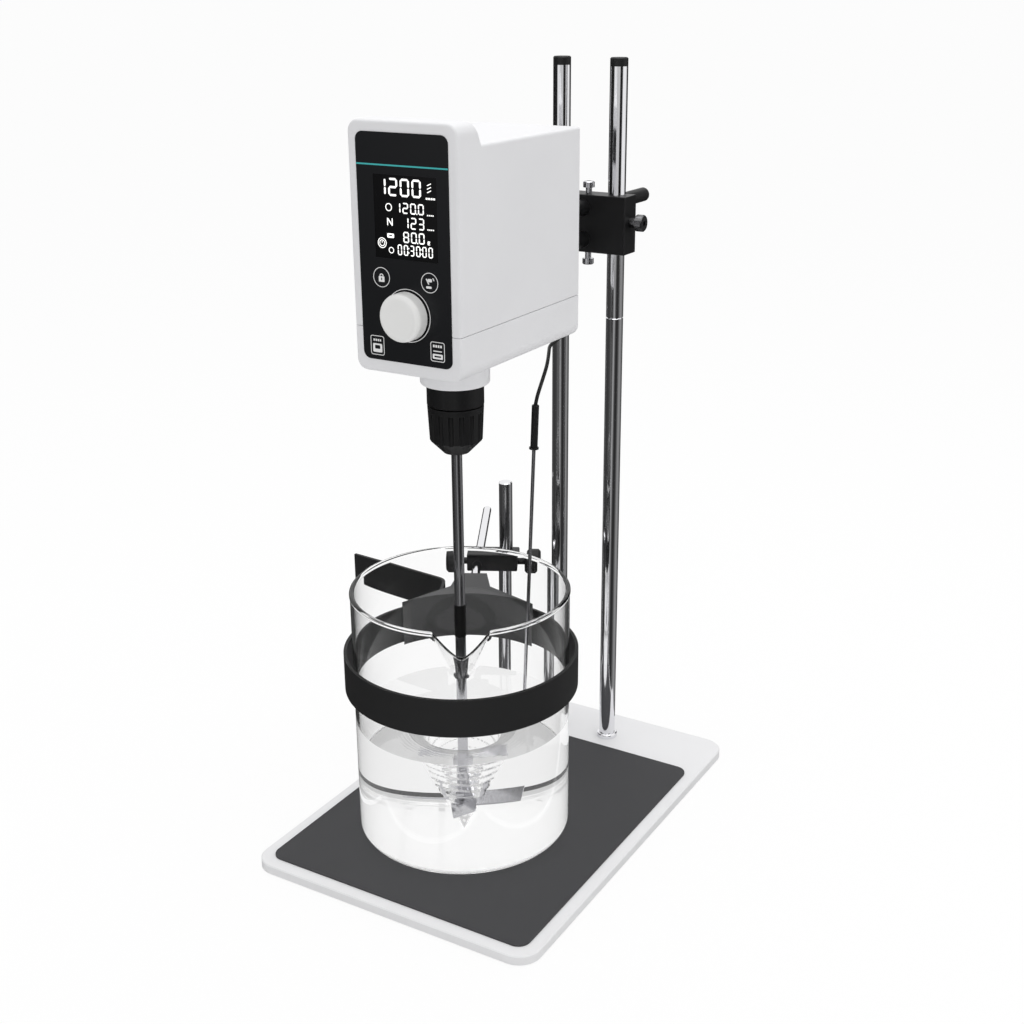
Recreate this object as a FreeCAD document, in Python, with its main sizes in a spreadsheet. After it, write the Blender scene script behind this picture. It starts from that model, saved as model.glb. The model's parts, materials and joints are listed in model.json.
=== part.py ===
"""Overhead stirrer on a two-post stand, with a keyless chuck, a bladed stirring shaft, a temperature
probe on a lead, and a beaker held by a strap clamp on a short support post.

Millimetres. The origin is on the bench under the middle of the base plate. +Z is up, the display
faces -Y, and +X is to the right of someone who faces the display.
"""
import FreeCAD, Part
import math
import os

import Sketcher
from FreeCAD import Placement, Rotation, Vector

doc = FreeCAD.newDocument("overhead_stirrer")
sheet = doc.addObject("Spreadsheet::Sheet", "Sizes")

# Driving sizes: alias, value, meaning
SIZES = [
    ("plate_width", 250, "base plate, side to side"),
    ("plate_depth", 352, "base plate, front to back"),
    ("plate_thickness", 7.4, "base plate"),
    ("plate_corner", 18, "corner radius of the base plate"),
    ("plate_edge", 0.8, "chamfer round the top of the base plate"),
    ("underlay_thickness", 0.8, "non-slip underlay below the base plate"),
    ("underlay_inset", 5, "bare edge of the plate round the underlay"),
    ("mat_side_margin", 10, "bare plate each side of the mat"),
    ("mat_front_margin", 10.4, "bare plate in front of the mat"),
    ("mat_depth", 282, "mat, front to back"),
    ("mat_thickness", 1.2, "mat"),
    ("mat_corner", 10, "corner radius of the mat"),
    ("post_radius", 7, "main post"),
    ("post_spacing", 50, "between the two main posts"),
    ("post_rear_inset", 38.7, "row of posts from the rear edge of the plate"),
    ("post_lower_length", 385.3, "lower section of a main post"),
    ("post_upper_length", 195.5, "upper section of a main post"),
    ("post_joint_chamfer", 0.5, "chamfer on each side of the joint in a post"),
    ("stud_radius", 4, "stud that joins the post sections"),
    ("stud_length", 15, "length of that stud"),
    ("stud_end_gap", 1, "free length past the end of a stud or screw"),
    ("cap_height", 6.5, "cap on top of a post"),
    ("cap_edge", 0.8, "chamfer on a post cap"),
    ("cap_plug_length", 8, "plug of the cap inside the post"),
    ("thread_gap", 0.03, "radial gap in a threaded or pressed joint"),
    ("running_gap", 0.05, "radial gap in a sliding or turning joint"),
    ("part_gap", 0.3, "gap between pieces that only lie next to each other"),
    ("nut_radius", 9.2, "round nut at a post foot"),
    ("nut_height", 4.2, "round nut at a post foot"),
    ("nut_edge", 1.6, "rounded top edge of that nut"),
    ("base_screw_radius", 3.8, "screw that holds a post from below"),
    ("base_screw_length", 14, "length of that screw inside the post"),
    ("base_screw_head_radius", 6.5, "head of that screw"),
    ("base_screw_head_height", 3.6, "head of that screw"),
    ("counterbore_gap", 0.5, "gap round and under the head of that screw"),
    ("short_post_radius", 6, "short support post"),
    ("short_post_top", 233.4, "top of the short post above the bench"),
    ("short_post_edge", 1, "chamfer on the top of the short post"),
    ("block_width", 74.6, "clamp block on the main posts, side to side"),
    ("block_depth", 20, "clamp block, front to back"),
    ("block_edge", 0.6, "rounded edges of the clamp block"),
    ("block_arm_wall", 3.8, "clamp block above and below the support arms"),
    ("arm_radius", 6.5, "support arm of the head"),
    ("arm_spacing", 25, "between the two support arms"),
    ("arm_height", 55.85, "lower arm above the underside of the head"),
    ("arm_rear_reach", 9, "arms past the rear face of the clamp block"),
    ("arm_screw_radius", 2.5, "screws that lock the arms"),
    ("arm_screw_head_radius", 4.6, "head of those screws"),
    ("arm_screw_head_height", 4.8, "head of those screws"),
    ("arm_screw_edge", 0.6, "chamfer on the head of those screws"),
    ("upper_screw_stand", 4.6, "head of the upper arm screw above the block"),
    ("lower_screw_stand", 6.4, "head of the lower arm screw below the block"),
    ("socket_radius", 2.2, "hexagon socket in a screw, centre to corner"),
    ("socket_depth", 2.4, "depth of that socket"),
    ("lock_screw_radius", 3, "shank of the two post lock screws"),
    ("lock_knob_drop", 5.2, "axis of the rear lock knob below the top of the block"),
    ("lock_knob_gap", 1.6, "rear lock knob from the block"),
    ("lock_knob_radius", 5.6, "rear lock knob"),
    ("lock_knob_length", 37, "rear lock knob"),
    ("lock_knob_edge", 1, "chamfer on the rear lock knob"),
    ("side_screw_drop", 20.5, "axis of the side thumb screw below the top of the block"),
    ("side_collar_radius", 4, "collar of the side thumb screw"),
    ("side_collar_length", 6, "collar of the side thumb screw"),
    ("side_knob_radius", 6.6, "head of the side thumb screw"),
    ("side_knob_length", 6, "head of the side thumb screw"),
    ("side_knob_edge", 0.7, "chamfer on the head of the side thumb screw"),
    ("head_width", 85.4, "head, side to side"),
    ("head_depth", 161.7, "head, front to back"),
    ("head_gap", 85.7, "rear of the head to the clamp block"),
    ("head_rest_height", 400.4, "underside of the head above the bench"),
    ("head_height", 167, "head at the front bezel"),
    ("head_step", 14.9, "top of the head behind the bezel, below the top of the bezel"),
    ("bezel_depth", 20.5, "front bezel along its top"),
    ("bezel_slope", 7.5, "run of the slope behind the bezel"),
    ("split_height", 30.5, "joint of the two shells above the underside"),
    ("seam_height", 0.5, "groove round the joint of the shells"),
    ("seam_depth", 1, "groove round the joint of the shells"),
    ("shell_wall", 3, "wall of the shells"),
    ("front_wall", 4, "front wall of the shells"),
    ("head_corner", 8, "corner radius of the head seen from the front"),
    ("head_edge", 2, "rounding of the front and rear edges of the head"),
    ("fascia_width", 72, "front panel"),
    ("fascia_drop", 7.4, "top of the front panel below the top of the head"),
    ("fascia_rise", 8.9, "bottom of the front panel above the underside"),
    ("fascia_thickness", 1.6, "front panel"),
    ("fascia_recess", 1.2, "depth of the recess for the front panel"),
    ("fascia_corner", 5.5, "corner radius of the front panel"),
    ("display_width", 49.4, "display window"),
    ("display_height", 54.2, "display window"),
    ("display_drop", 61.1, "centre of the display below the top of the head"),
    ("display_shift", 2, "centre of the display right of the middle"),
    ("display_depth", 8.6, "display module, front to back"),
    ("display_inset", 0.2, "display glass behind the face of the panel"),
    ("knob_rise", 41.7, "knob axis above the underside of the head"),
    ("knob_shift", 1.6, "knob axis right of the middle"),
    ("knob_radius", 16.3, "control knob"),
    ("knob_depth", 10.5, "control knob"),
    ("knob_gap", 1.2, "control knob from the front panel"),
    ("knob_edge", 3.6, "rounded front edge of the control knob"),
    ("encoder_radius", 3, "shaft of the rotary encoder"),
    ("encoder_bush_radius", 4, "bush of the rotary encoder"),
    ("encoder_shaft_length", 15, "shaft of the rotary encoder"),
    ("encoder_size", 14, "body of the rotary encoder"),
    ("encoder_shaft_cover", 2.6, "knob in front of the end of the encoder shaft"),
    ("plunger_length", 0.9, "push switch plunger behind the encoder shaft"),
    ("plunger_room", 0.9, "free bore behind the plunger"),
    ("board_thickness", 1.6, "circuit boards"),
    ("board_side_gap", 5, "circuit boards to the shell walls"),
    ("control_board_room", 4.1, "control board to the inside of the shell above it"),
    ("control_board_rise", 12, "control board above the underside of the head"),
    ("spindle_setback", 57.25, "spindle axis behind the front of the head"),
    ("spindle_radius", 6, "spindle"),
    ("spindle_top", 54.5, "top of the spindle above the underside of the head"),
    ("boss_radius", 25, "round boss under the head"),
    ("boss_drop", 17.8, "round boss below the head"),
    ("boss_edge", 2, "rounded lower edge of the round boss"),
    ("boss_spigot_radius", 18, "spigot of the boss in the lower shell"),
    ("boss_spigot_height", 8, "spigot of the boss in the lower shell"),
    ("boss_lip", 3, "lip of the boss under the lower bearing"),
    ("boss_lip_bore", 9, "bore radius of that lip"),
    ("bearing_radius", 14, "spindle bearings"),
    ("bearing_height", 8, "spindle bearings"),
    ("gear_plate_thickness", 6, "gear plate"),
    ("gear_plate_rear", 15.7, "gear plate in front of the rear of the head"),
    ("gear_plate_front", 24, "gear plate behind the front of the head"),
    ("gear_plate_side_gap", 3.5, "gear plate to the shell walls"),
    ("standoff_radius", 4, "posts under the gear plate"),
    ("standoff_inset", 8, "those posts from the edges of the gear plate"),
    ("gear_module", 1.25, "module of the spindle drive gears"),
    ("gear_teeth", 48, "teeth of the spindle gear"),
    ("pinion_teeth", 16, "teeth of the motor pinion"),
    ("gear_thickness", 9, "spindle gear"),
    ("gear_gap", 4.6, "gears below the gear plate"),
    ("tooth_backlash", 0.6, "play between the teeth on the pitch circle"),
    ("tooth_root", 1.25, "depth of a tooth below the pitch circle, in modules"),
    ("tooth_slope", 20, "slope of the tooth flanks, degrees"),
    ("motor_radius", 22, "motor can"),
    ("motor_wall", 3, "ends of the motor can"),
    ("rotor_radius", 14, "motor rotor"),
    ("rotor_air_gap", 0.6, "motor rotor to the stator"),
    ("rotor_end_gap", 6, "motor rotor to the ends of the can"),
    ("motor_shaft_radius", 4, "motor shaft"),
    ("bracket_width", 36, "arm bracket inside the head"),
    ("bracket_depth", 20, "arm bracket inside the head"),
    ("bracket_rear_gap", 2, "arm bracket from the rear wall"),
    ("bracket_top_wall", 3.4, "arm bracket above the upper arm"),
    ("power_board_gap", 9, "power board above the motor can"),
    ("power_board_rear", 29.7, "power board in front of the rear of the head"),
    ("power_board_front", 48, "power board behind the front of the head"),
    ("spacer_radius", 3, "spacers under the power board"),
    ("spacer_inset", 5, "spacers from the edges of the power board"),
    ("capacitor_radius", 4.5, "capacitors on the power board"),
    ("capacitor_height", 9, "capacitors on the power board"),
    ("capacitor_inset", 12, "capacitors from the edges of the power board"),
    ("capacitor_room", 6.05, "capacitors to the inside of the shell above them"),
    ("inlet_width", 72, "flange of the mains inlet module"),
    ("inlet_height", 28, "flange of the mains inlet module"),
    ("inlet_flange", 1.8, "flange of the mains inlet module"),
    ("inlet_rim", 2.2, "flange past the body of the inlet module"),
    ("inlet_depth", 17, "body of the inlet module behind the rear wall"),
    ("inlet_drop", 32.5, "axis of the inlet module below the top of the head behind the bezel"),
    ("inlet_socket_width", 24.4, "mains plug recess"),
    ("inlet_socket_height", 16.4, "mains plug recess"),
    ("inlet_socket_depth", 15, "mains plug recess"),
    ("inlet_shift", 18, "mains plug recess left of the middle"),
    ("inlet_pin_length", 10, "contact pins in the mains plug recess"),
    ("switch_shift", 19, "power switch right of the middle"),
    ("switch_width", 20, "opening of the power switch"),
    ("switch_height", 20, "opening of the power switch"),
    ("rocker_depth", 8, "rocker of the power switch"),
    ("rocker_gap", 1.2, "rocker to the sides of its opening"),
    ("rocker_proud", 1.6, "rocker proud of its flange"),
    ("rocker_hollow", 42, "radius of the hollow face of the rocker"),
    ("rocker_tilt", 8, "tilt of the rocker when switched off, degrees"),
    ("rocker_pin_radius", 1.2, "pin that the rocker turns on"),
    ("housing_screw_radius", 1.5, "screws that join the shells"),
    ("housing_screw_head", 2.8, "radius of the head of those screws"),
    ("housing_screw_head_height", 1.4, "head of those screws"),
    ("housing_screw_length", 10, "length of those screws"),
    ("housing_screw_inset", 13, "those screws from the sides of the head"),
    ("pillar_radius", 3, "screw pillars in the lower shell"),
    ("probe_socket_radius", 7, "sensor socket on the rear of the head"),
    ("probe_socket_shift", 19, "sensor socket right of the middle"),
    ("probe_socket_rise", 19.6, "sensor socket above the underside of the head"),
    ("probe_socket_proud", 4, "sensor socket proud of the rear wall"),
    ("probe_socket_bore", 3, "contact hole of the sensor socket"),
    ("probe_plug_radius", 5.5, "plug of the probe lead"),
    ("probe_plug_length", 9, "plug of the probe lead"),
    ("probe_relief_length", 7, "strain relief of the probe plug"),
    ("probe_cable_radius", 1.4, "probe lead"),
    ("probe_grip_radius", 2.8, "grip of the probe"),
    ("probe_grip_length", 35, "grip of the probe"),
    ("probe_grip_edge", 0.6, "chamfer on the top of the grip"),
    ("probe_flange_radius", 3.7, "flange at the bottom of the grip"),
    ("probe_flange_height", 1.3, "flange at the bottom of the grip"),
    ("probe_rod_radius", 1.4, "steel rod of the probe"),
    ("probe_rod_length", 236.6, "steel rod of the probe"),
    ("probe_lean", 2.4, "lean of the probe to the right, degrees"),
    ("chuck_gap", 0.3, "chuck below the round boss"),
    ("collar_radius", 20.6, "upper collar of the chuck"),
    ("collar_height", 15.3, "upper collar of the chuck"),
    ("collar_edge", 0.8, "chamfer on the collar"),
    ("groove_height", 0.6, "groove between the collar and the sleeve"),
    ("sleeve_top_radius", 20.4, "sleeve of the chuck at its top"),
    ("sleeve_low_radius", 19.1, "sleeve of the chuck above its nose"),
    ("sleeve_height", 25.5, "sleeve of the chuck above its nose"),
    ("nose_height", 9.8, "nose of the chuck sleeve"),
    ("nose_radius", 9.4, "end of the chuck nose"),
    ("nose_bore", 6.5, "hole in the chuck nose"),
    ("nose_wall", 4, "end wall of the chuck nose"),
    ("sleeve_flutes", 16, "grip flutes round the chuck sleeve"),
    ("flute_radius", 2, "grip flute"),
    ("flute_depth", 1, "grip flute at the lower end of the sleeve"),
    ("flute_drop", 4, "grip flutes below the top of the sleeve"),
    ("core_radius", 13.2, "core of the chuck inside the sleeve"),
    ("core_nose_radius", 8.6, "lower end of the chuck core"),
    ("chuck_bore", 5.2, "central bore of the chuck core"),
    ("chuck_seat", 10, "spindle inside the chuck"),
    ("jaw_radius", 2.2, "chuck jaw"),
    ("jaw_length", 26, "chuck jaw"),
    ("jaw_offset", 4.9, "lower end of a jaw from the spindle axis"),
    ("jaw_tilt", 10, "tilt of a chuck jaw, degrees"),
    ("jaw_travel_room", 7, "free bore above a closed jaw"),
    ("shaft_radius", 4, "stirring shaft"),
    ("shaft_grip", 32, "stirring shaft above the end of the chuck nose"),
    ("grip_gap", 0.02, "closed jaws to the shaft"),
    ("band_radius", 4.4, "black sleeve on the shaft"),
    ("band_top", 210, "top of that sleeve above the bench"),
    ("band_length", 26, "length of that sleeve"),
    ("hub_radius", 6.2, "hub of the impeller"),
    ("hub_height", 24, "hub of the impeller"),
    ("hub_low", 46, "lower end of the hub above the bench"),
    ("blade_rise", 9, "middle of the blades above the lower end of the hub"),
    ("blade_reach", 35, "blade tips from the shaft axis"),
    ("blade_width", 16, "impeller blade"),
    ("blade_thickness", 1.6, "impeller blade"),
    ("blade_pitch", 22, "pitch of the blades, degrees"),
    ("blade_count", 4, "blades of the impeller"),
    ("blade_turn", 33.3, "turn of the first blade from the front, degrees"),
    ("vessel_left", 12.3, "beaker axis left of the middle"),
    ("vessel_front", 132.6, "beaker axis behind the front edge of the plate"),
    ("vessel_radius", 84.4, "beaker"),
    ("vessel_height", 205, "beaker"),
    ("vessel_wall", 2.6, "wall of the beaker"),
    ("vessel_floor", 3.2, "floor of the beaker"),
    ("vessel_corner", 6, "rounded bottom edge of the beaker"),
    ("vessel_rim", 1.9, "radius of the rolled rim of the beaker"),
    ("vessel_seat_gap", 0.1, "beaker above the mat"),
    ("spout_turn", 33.3, "pouring lip from the front, degrees"),
    ("spout_width", 43, "pouring lip"),
    ("spout_reach", 15, "pouring lip past the wall"),
    ("spout_dip", 11, "tip of the pouring lip below the rim"),
    ("spout_depth", 30.5, "foot of the pouring lip below the rim"),
    ("spout_wall", 2.2, "pouring lip, wall measured back and up"),
    ("holder_turn", 28.2, "strap clamp, turned left from straight back, degrees"),
    ("holder_reach", 191.4, "short post behind the beaker axis, along the clamp"),
    ("holder_side", 25.5, "short post beside the clamp rod"),
    ("rod_height", 157.5, "clamp rod above the bench"),
    ("rod_radius", 4, "clamp rod"),
    ("rod_length", 216, "clamp rod"),
    ("rod_start", 108, "near end of the clamp rod behind the beaker axis"),
    ("rod_edge", 0.8, "chamfer on the ends of the clamp rod"),
    ("boss_head_left", 9.4, "boss head left of the clamp rod axis"),
    ("boss_head_right", 11.8, "boss head right of the short post axis"),
    ("boss_head_depth", 20, "boss head along the clamp rod"),
    ("boss_head_height", 16, "boss head"),
    ("boss_head_below", 6.3, "boss head below the clamp rod axis"),
    ("boss_head_edge", 1.2, "rounded edges of the boss head"),
    ("boss_screw_radius", 3, "screws of the boss head"),
    ("boss_screw_bare", 7, "bare length of those screws"),
    ("boss_knob_radius", 11, "knobs of the boss head"),
    ("boss_knob_length", 12.4, "knobs of the boss head"),
    ("boss_knob_edge", 2, "chamfer on those knobs"),
    ("jaw_gap", 0.3, "strap jaw to the beaker"),
    ("jaw_half_width", 54.5, "strap jaw, centre to tip"),
    ("jaw_bottom", 133.8, "underside of the strap jaw above the bench"),
    ("jaw_height", 38.2, "strap jaw"),
    ("jaw_root", 99.5, "root of the jaw neck behind the beaker axis"),
    ("jaw_root_half", 17, "half width of the jaw neck at its root"),
    ("neck_end", 128, "end of the jaw neck behind the beaker axis"),
    ("neck_end_half", 12.4, "half width of the jaw neck at its end"),
    ("neck_rise", 10, "underside of the neck above the underside of the jaw"),
    ("strap_radius", 91.4, "outside of the strap"),
    ("strap_thickness", 2.5, "strap"),
    ("strap_height", 30, "strap"),
    ("strap_bottom", 134.3, "lower edge of the strap above the bench"),
    ("strap_open", 16, "half the angle of the strap held in the jaw, degrees"),
    ("strap_slot_gap", 0.3, "strap to the sides of its slots in the jaw"),
    ("tail_start_side", 27.5, "start of the strap's free end, left of the clamp rod axis"),
    ("tail_start_reach", 90, "start of the strap's free end, behind the beaker axis"),
    ("tail_corner_side", 25, "corner of the strap's free end, left of the clamp rod axis"),
    ("tail_corner_reach", 132, "corner of the strap's free end, behind the beaker axis"),
    ("tail_end_side", 111.4, "tip of the strap's free end, left of the clamp rod axis"),
    ("tail_end_reach", 187.3, "tip of the strap's free end, behind the beaker axis"),
    ("tail_bend_radius", 12, "bend radius of the strap's free end"),
]

for row, (alias, value, meaning) in enumerate(SIZES, start=1):
    sheet.set("A%d" % row, alias)
    sheet.set("B%d" % row, str(value))
    sheet.set("C%d" % row, meaning)
    sheet.setAlias("B%d" % row, alias)
doc.recompute()


class Length:
    """A size with the sheet expression that it comes from, so that sums of sizes stay bound."""

    def __init__(self, value, text):
        self.value = value
        self.text = text

    def joined(self, other, sign):
        if not isinstance(other, Length):
            other = Length(other, repr(other))
        result = {
            "+": lambda a, b: a + b,
            "-": lambda a, b: a - b,
            "*": lambda a, b: a * b,
            "/": lambda a, b: a / b,
        }[sign](self.value, other.value)
        return Length(result, "(%s %s %s)" % (self.text, sign, other.text))

    def __add__(self, other):
        return self.joined(other, "+")

    def __sub__(self, other):
        return self.joined(other, "-")

    def __mul__(self, other):
        return self.joined(other, "*")

    def __truediv__(self, other):
        return self.joined(other, "/")

    def __neg__(self):
        return Length(-self.value, "(-1 * %s)" % self.text)


class Sizes:
    """The sheet's driving sizes by name."""

    def __getattr__(self, alias):
        return Length(float(sheet.get(alias)), "Sizes." + alias)


s = Sizes()
ZERO = Length(0.0, "0")
FULL_TURN = 360
HALF_TURN = 180
THIRD_TURN = 120
QUARTER_TURN = 90
JAWS = 3
nodes = []


def sine(angle):
    return Length(math.sin(math.radians(angle.value)), "sin(%s)" % angle.text)


def cosine(angle):
    return Length(math.cos(math.radians(angle.value)), "cos(%s)" % angle.text)


def bind(thing, prop, size):
    """Ties a property to the sheet."""
    thing.setExpression(prop, size.text)


def place(thing, x, y, z):
    for axis, size in zip("xyz", (x, y, z)):
        bind(thing, "Placement.Base." + axis, size)


def named(thing, label):
    """Gives a finished sub-part its name."""
    thing.Label = label
    nodes.append(thing)
    return thing


def box(x, y, z):
    """A box from three (low, high) pairs."""
    solid = doc.addObject("Part::Box", "Box")
    for prop, (low, high) in zip(("Length", "Width", "Height"), (x, y, z)):
        bind(solid, prop, high - low)
    place(solid, x[0], y[0], z[0])
    return solid


TURNS = {
    "z": Rotation(),
    "-z": Rotation(Vector(1, 0, 0), HALF_TURN),
    "y": Rotation(Vector(1, 0, 0), -90),
    "-y": Rotation(Vector(1, 0, 0), 90),
    "x": Rotation(Vector(0, 1, 0), 90),
    "-x": Rotation(Vector(0, 1, 0), -90),
}


def set_along(solid, start, direction):
    solid.Placement = Placement(Vector(), TURNS[direction])
    place(solid, *start)
    return solid


def cylinder(radius, length, start, direction="z"):
    solid = doc.addObject("Part::Cylinder", "Cylinder")
    bind(solid, "Radius", radius)
    bind(solid, "Height", length)
    return set_along(solid, start, direction)


def cone(radius_1, radius_2, length, start, direction="z"):
    solid = doc.addObject("Part::Cone", "Cone")
    bind(solid, "Radius1", radius_1)
    bind(solid, "Radius2", radius_2)
    bind(solid, "Height", length)
    return set_along(solid, start, direction)


def hexagon(radius, length, start, direction="z"):
    solid = doc.addObject("Part::Prism", "Prism")
    solid.Polygon = 6
    bind(solid, "Circumradius", radius)
    bind(solid, "Height", length)
    return set_along(solid, start, direction)


def fuse(*solids):
    whole = doc.addObject("Part::MultiFuse", "Fusion")
    whole.Shapes = list(solids)
    whole.Refine = True
    return whole


def cut(base, *tools):
    """The base without the tools, which must each take something away."""
    result = doc.addObject("Part::Cut", "Cut")
    result.Base = base
    result.Tool = tools[0] if len(tools) == 1 else fuse(*tools)
    result.Refine = True
    return result


def common(base, tool):
    result = doc.addObject("Part::Common", "Common")
    result.Base = base
    result.Tool = tool
    return result


def group(*solids):
    whole = doc.addObject("Part::Compound", "Group")
    whole.Links = list(solids)
    return whole


def dressed(kind, base, size, wanted):
    """Fillets or chamfers the edges of the base that wanted(edge) picks."""
    doc.recompute()
    picked = [
        (number, size.value, size.value)
        for number, edge in enumerate(base.Shape.Edges, start=1)
        if wanted(edge)
    ]
    if not picked:
        raise ValueError("no edge to dress on " + base.Label)
    result = doc.addObject("Part::" + kind, kind)
    result.Base = base
    result.Edges = picked
    return result


def straight_along(axis):
    """Picks straight edges along an axis."""
    def wanted(edge):
        way = edge.Vertexes[-1].Point - edge.Vertexes[0].Point
        return edge.Curve.TypeId == "Part::GeomLine" and abs(way.normalize().dot(axis)) > 0.999
    return wanted


def edges_at(axis, place_on_axis, tolerance=1e-4):
    """Picks edges that lie in the plane across an axis at a place."""
    def wanted(edge):
        box_low = Vector(edge.BoundBox.XMin, edge.BoundBox.YMin, edge.BoundBox.ZMin)
        box_high = Vector(edge.BoundBox.XMax, edge.BoundBox.YMax, edge.BoundBox.ZMax)
        return all(abs(corner.dot(axis) - place_on_axis) < tolerance for corner in (box_low, box_high))
    return wanted


def circle_at(axis, place_on_axis, radius):
    """Picks circular edges of one radius in the plane across an axis at a place."""
    in_plane = edges_at(axis, place_on_axis)

    def wanted(edge):
        round_edge = edge.Curve.TypeId == "Part::GeomCircle"
        return round_edge and abs(edge.Curve.Radius - radius) < 1e-4 and in_plane(edge)
    return wanted


X_AXIS = Vector(1, 0, 0)
Y_AXIS = Vector(0, 1, 0)
Z_AXIS = Vector(0, 0, 1)


def origin_plane(body, role):
    return next(f for f in body.Origin.OriginFeatures if f.Role == role)


def outline(body, plane, points, arc_after=None):
    """A closed sketch through points, each tied to the sheet; arc_after names the point after
    which the outline follows an arc about the sketch origin."""
    sketch = body.newObject("Sketcher::SketchObject", "Outline")
    sketch.AttachmentSupport = [(origin_plane(body, plane), "")]
    sketch.MapMode = "FlatFace"
    corners = [Vector(x.value, y.value, 0) for x, y in points]
    count = len(corners)
    for number, corner in enumerate(corners):
        following = corners[(number + 1) % count]
        if number == arc_after:
            angles = [math.atan2(p.y, p.x) for p in (corner, following)]
            circle = Part.Circle(Vector(), Vector(0, 0, 1), corner.Length)
            sketch.addGeometry(Part.ArcOfCircle(circle, min(angles), max(angles)), False)
        else:
            sketch.addGeometry(Part.LineSegment(corner, following), False)
    for number, (x, y) in enumerate(points):
        if number == arc_after:
            continue
        for kind, on_axis, size in (("DistanceX", -2, x), ("DistanceY", -1, y)):
            if size.value == 0:
                sketch.addConstraint(Sketcher.Constraint("PointOnObject", number, 1, on_axis))
            else:
                place_in_list = sketch.addConstraint(
                    Sketcher.Constraint(kind, -1, 1, number, 1, size.value)
                )
                sketch.setExpression("Constraints[%d]" % place_in_list, size.text)
    for number in range(count):
        following = (number + 1) % count
        if arc_after in (number, following):
            continue
        sketch.addConstraint(Sketcher.Constraint("Coincident", number, 2, following, 1))
    return sketch


def turned(points):
    """A body turned about the vertical through its origin, from (radius, height) points."""
    body = doc.addObject("PartDesign::Body", "Turned")
    sketch = outline(body, "XZ_Plane", points)
    solid = body.newObject("PartDesign::Revolution", "Revolution")
    solid.Profile = sketch
    solid.ReferenceAxis = (sketch, ["V_Axis"])
    solid.Angle = FULL_TURN
    sketch.Visibility = False
    return body


def slab(width, depth, thickness, corner):
    """A plate with rounded corners: one corner of its bounding box is at the origin."""
    body = doc.addObject("PartDesign::Body", "Slab")
    sketch = outline(body, "XY_Plane", [(ZERO, ZERO), (width, ZERO), (width, depth), (ZERO, depth)])
    pad = body.newObject("PartDesign::Pad", "Pad")
    pad.Profile = sketch
    bind(pad, "Length", thickness)
    doc.recompute()
    upright = straight_along(Z_AXIS)
    names = ["Edge%d" % n for n, edge in enumerate(pad.Shape.Edges, start=1) if upright(edge)]
    fillet = body.newObject("PartDesign::Fillet", "Corners")
    fillet.Base = (pad, names)
    bind(fillet, "Radius", corner)
    body.Tip = fillet
    return body


def prism_along_z(points, thickness, arc_after=None):
    body = doc.addObject("PartDesign::Body", "Profile")
    sketch = outline(body, "XY_Plane", points, arc_after)
    pad = body.newObject("PartDesign::Pad", "Pad")
    pad.Profile = sketch
    bind(pad, "Length", thickness)
    body.Tip = pad
    return body


# Places that several pieces share
plate_low = s.underlay_thickness
plate_top = plate_low + s.plate_thickness
mat_top = plate_top + s.mat_thickness
plate_front = -(s.plate_depth / 2)
post_row = s.plate_depth / 2 - s.post_rear_inset
post_side = s.post_spacing / 2
joint_height = plate_top + s.post_lower_length
upper_top = joint_height + s.post_upper_length
block_front = post_row - s.block_depth / 2
block_rear = post_row + s.block_depth / 2
head_rear = block_front - s.head_gap
head_front = head_rear - s.head_depth
head_low = s.head_rest_height
arm_low = head_low + s.arm_height
arm_high = arm_low + s.arm_spacing
block_low = arm_low - s.arm_radius - s.block_arm_wall
block_top = arm_high + s.arm_radius + s.block_arm_wall
split = head_low + s.split_height
cavity_front = head_front + s.front_wall
cavity_rear = head_rear - s.shell_wall
cavity_side = s.head_width / 2 - s.shell_wall
cavity_low = head_low + s.shell_wall
head_top = head_low + s.head_height
rear_top = head_top - s.head_step
cavity_top = rear_top - s.shell_wall
fascia_back = head_front + s.fascia_recess
fascia_face = fascia_back - s.fascia_thickness
fascia_low = head_low + s.fascia_rise
fascia_top = head_top - s.fascia_drop
inlet_z = rear_top - s.inlet_drop
spindle_y = head_front + s.spindle_setback
gear_plate_top = arm_low - s.arm_radius - s.part_gap
gear_plate_low = gear_plate_top - s.gear_plate_thickness
gear_distance = s.gear_module * (s.gear_teeth + s.pinion_teeth) / 2
motor_y = spindle_y + gear_distance
gear_top = gear_plate_low - s.gear_gap
power_board_low = cavity_top - s.capacitor_room - s.capacitor_height
motor_top = power_board_low - s.power_board_gap
motor_height = motor_top - gear_plate_top
boss_low = head_low - s.boss_drop
collar_top = boss_low - s.chuck_gap
collar_low = collar_top - s.collar_height
sleeve_top = collar_low - s.groove_height
nose_top = sleeve_top - s.sleeve_height
nose_low = nose_top - s.nose_height
vessel_x = -s.vessel_left
vessel_y = plate_front + s.vessel_front
vessel_low = mat_top + s.vessel_seat_gap
vessel_top = vessel_low + s.vessel_height
short_x = vessel_x - s.holder_reach * sine(s.holder_turn) + s.holder_side * cosine(s.holder_turn)
short_y = vessel_y + s.holder_reach * cosine(s.holder_turn) + s.holder_side * sine(s.holder_turn)
post_places = [(-post_side, post_row), (post_side, post_row)]
screw_places = post_places + [(short_x, short_y)]


def base_plate():
    slab_body = slab(s.plate_width, s.plate_depth, s.plate_thickness, s.plate_corner)
    place(slab_body, -(s.plate_width / 2), plate_front, plate_low)
    plate = dressed("Chamfer", slab_body, s.plate_edge, edges_at(Z_AXIS, plate_top.value))
    tools = []
    bore = s.base_screw_head_height + s.counterbore_gap
    for x, y in screw_places:
        tools.append(cylinder(s.base_screw_head_radius + s.counterbore_gap, bore, (x, y, plate_low)))
        tools.append(
            cylinder(s.base_screw_radius + s.running_gap, s.plate_thickness, (x, y, plate_low))
        )
    return named(cut(plate, *tools), "base_plate")


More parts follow.
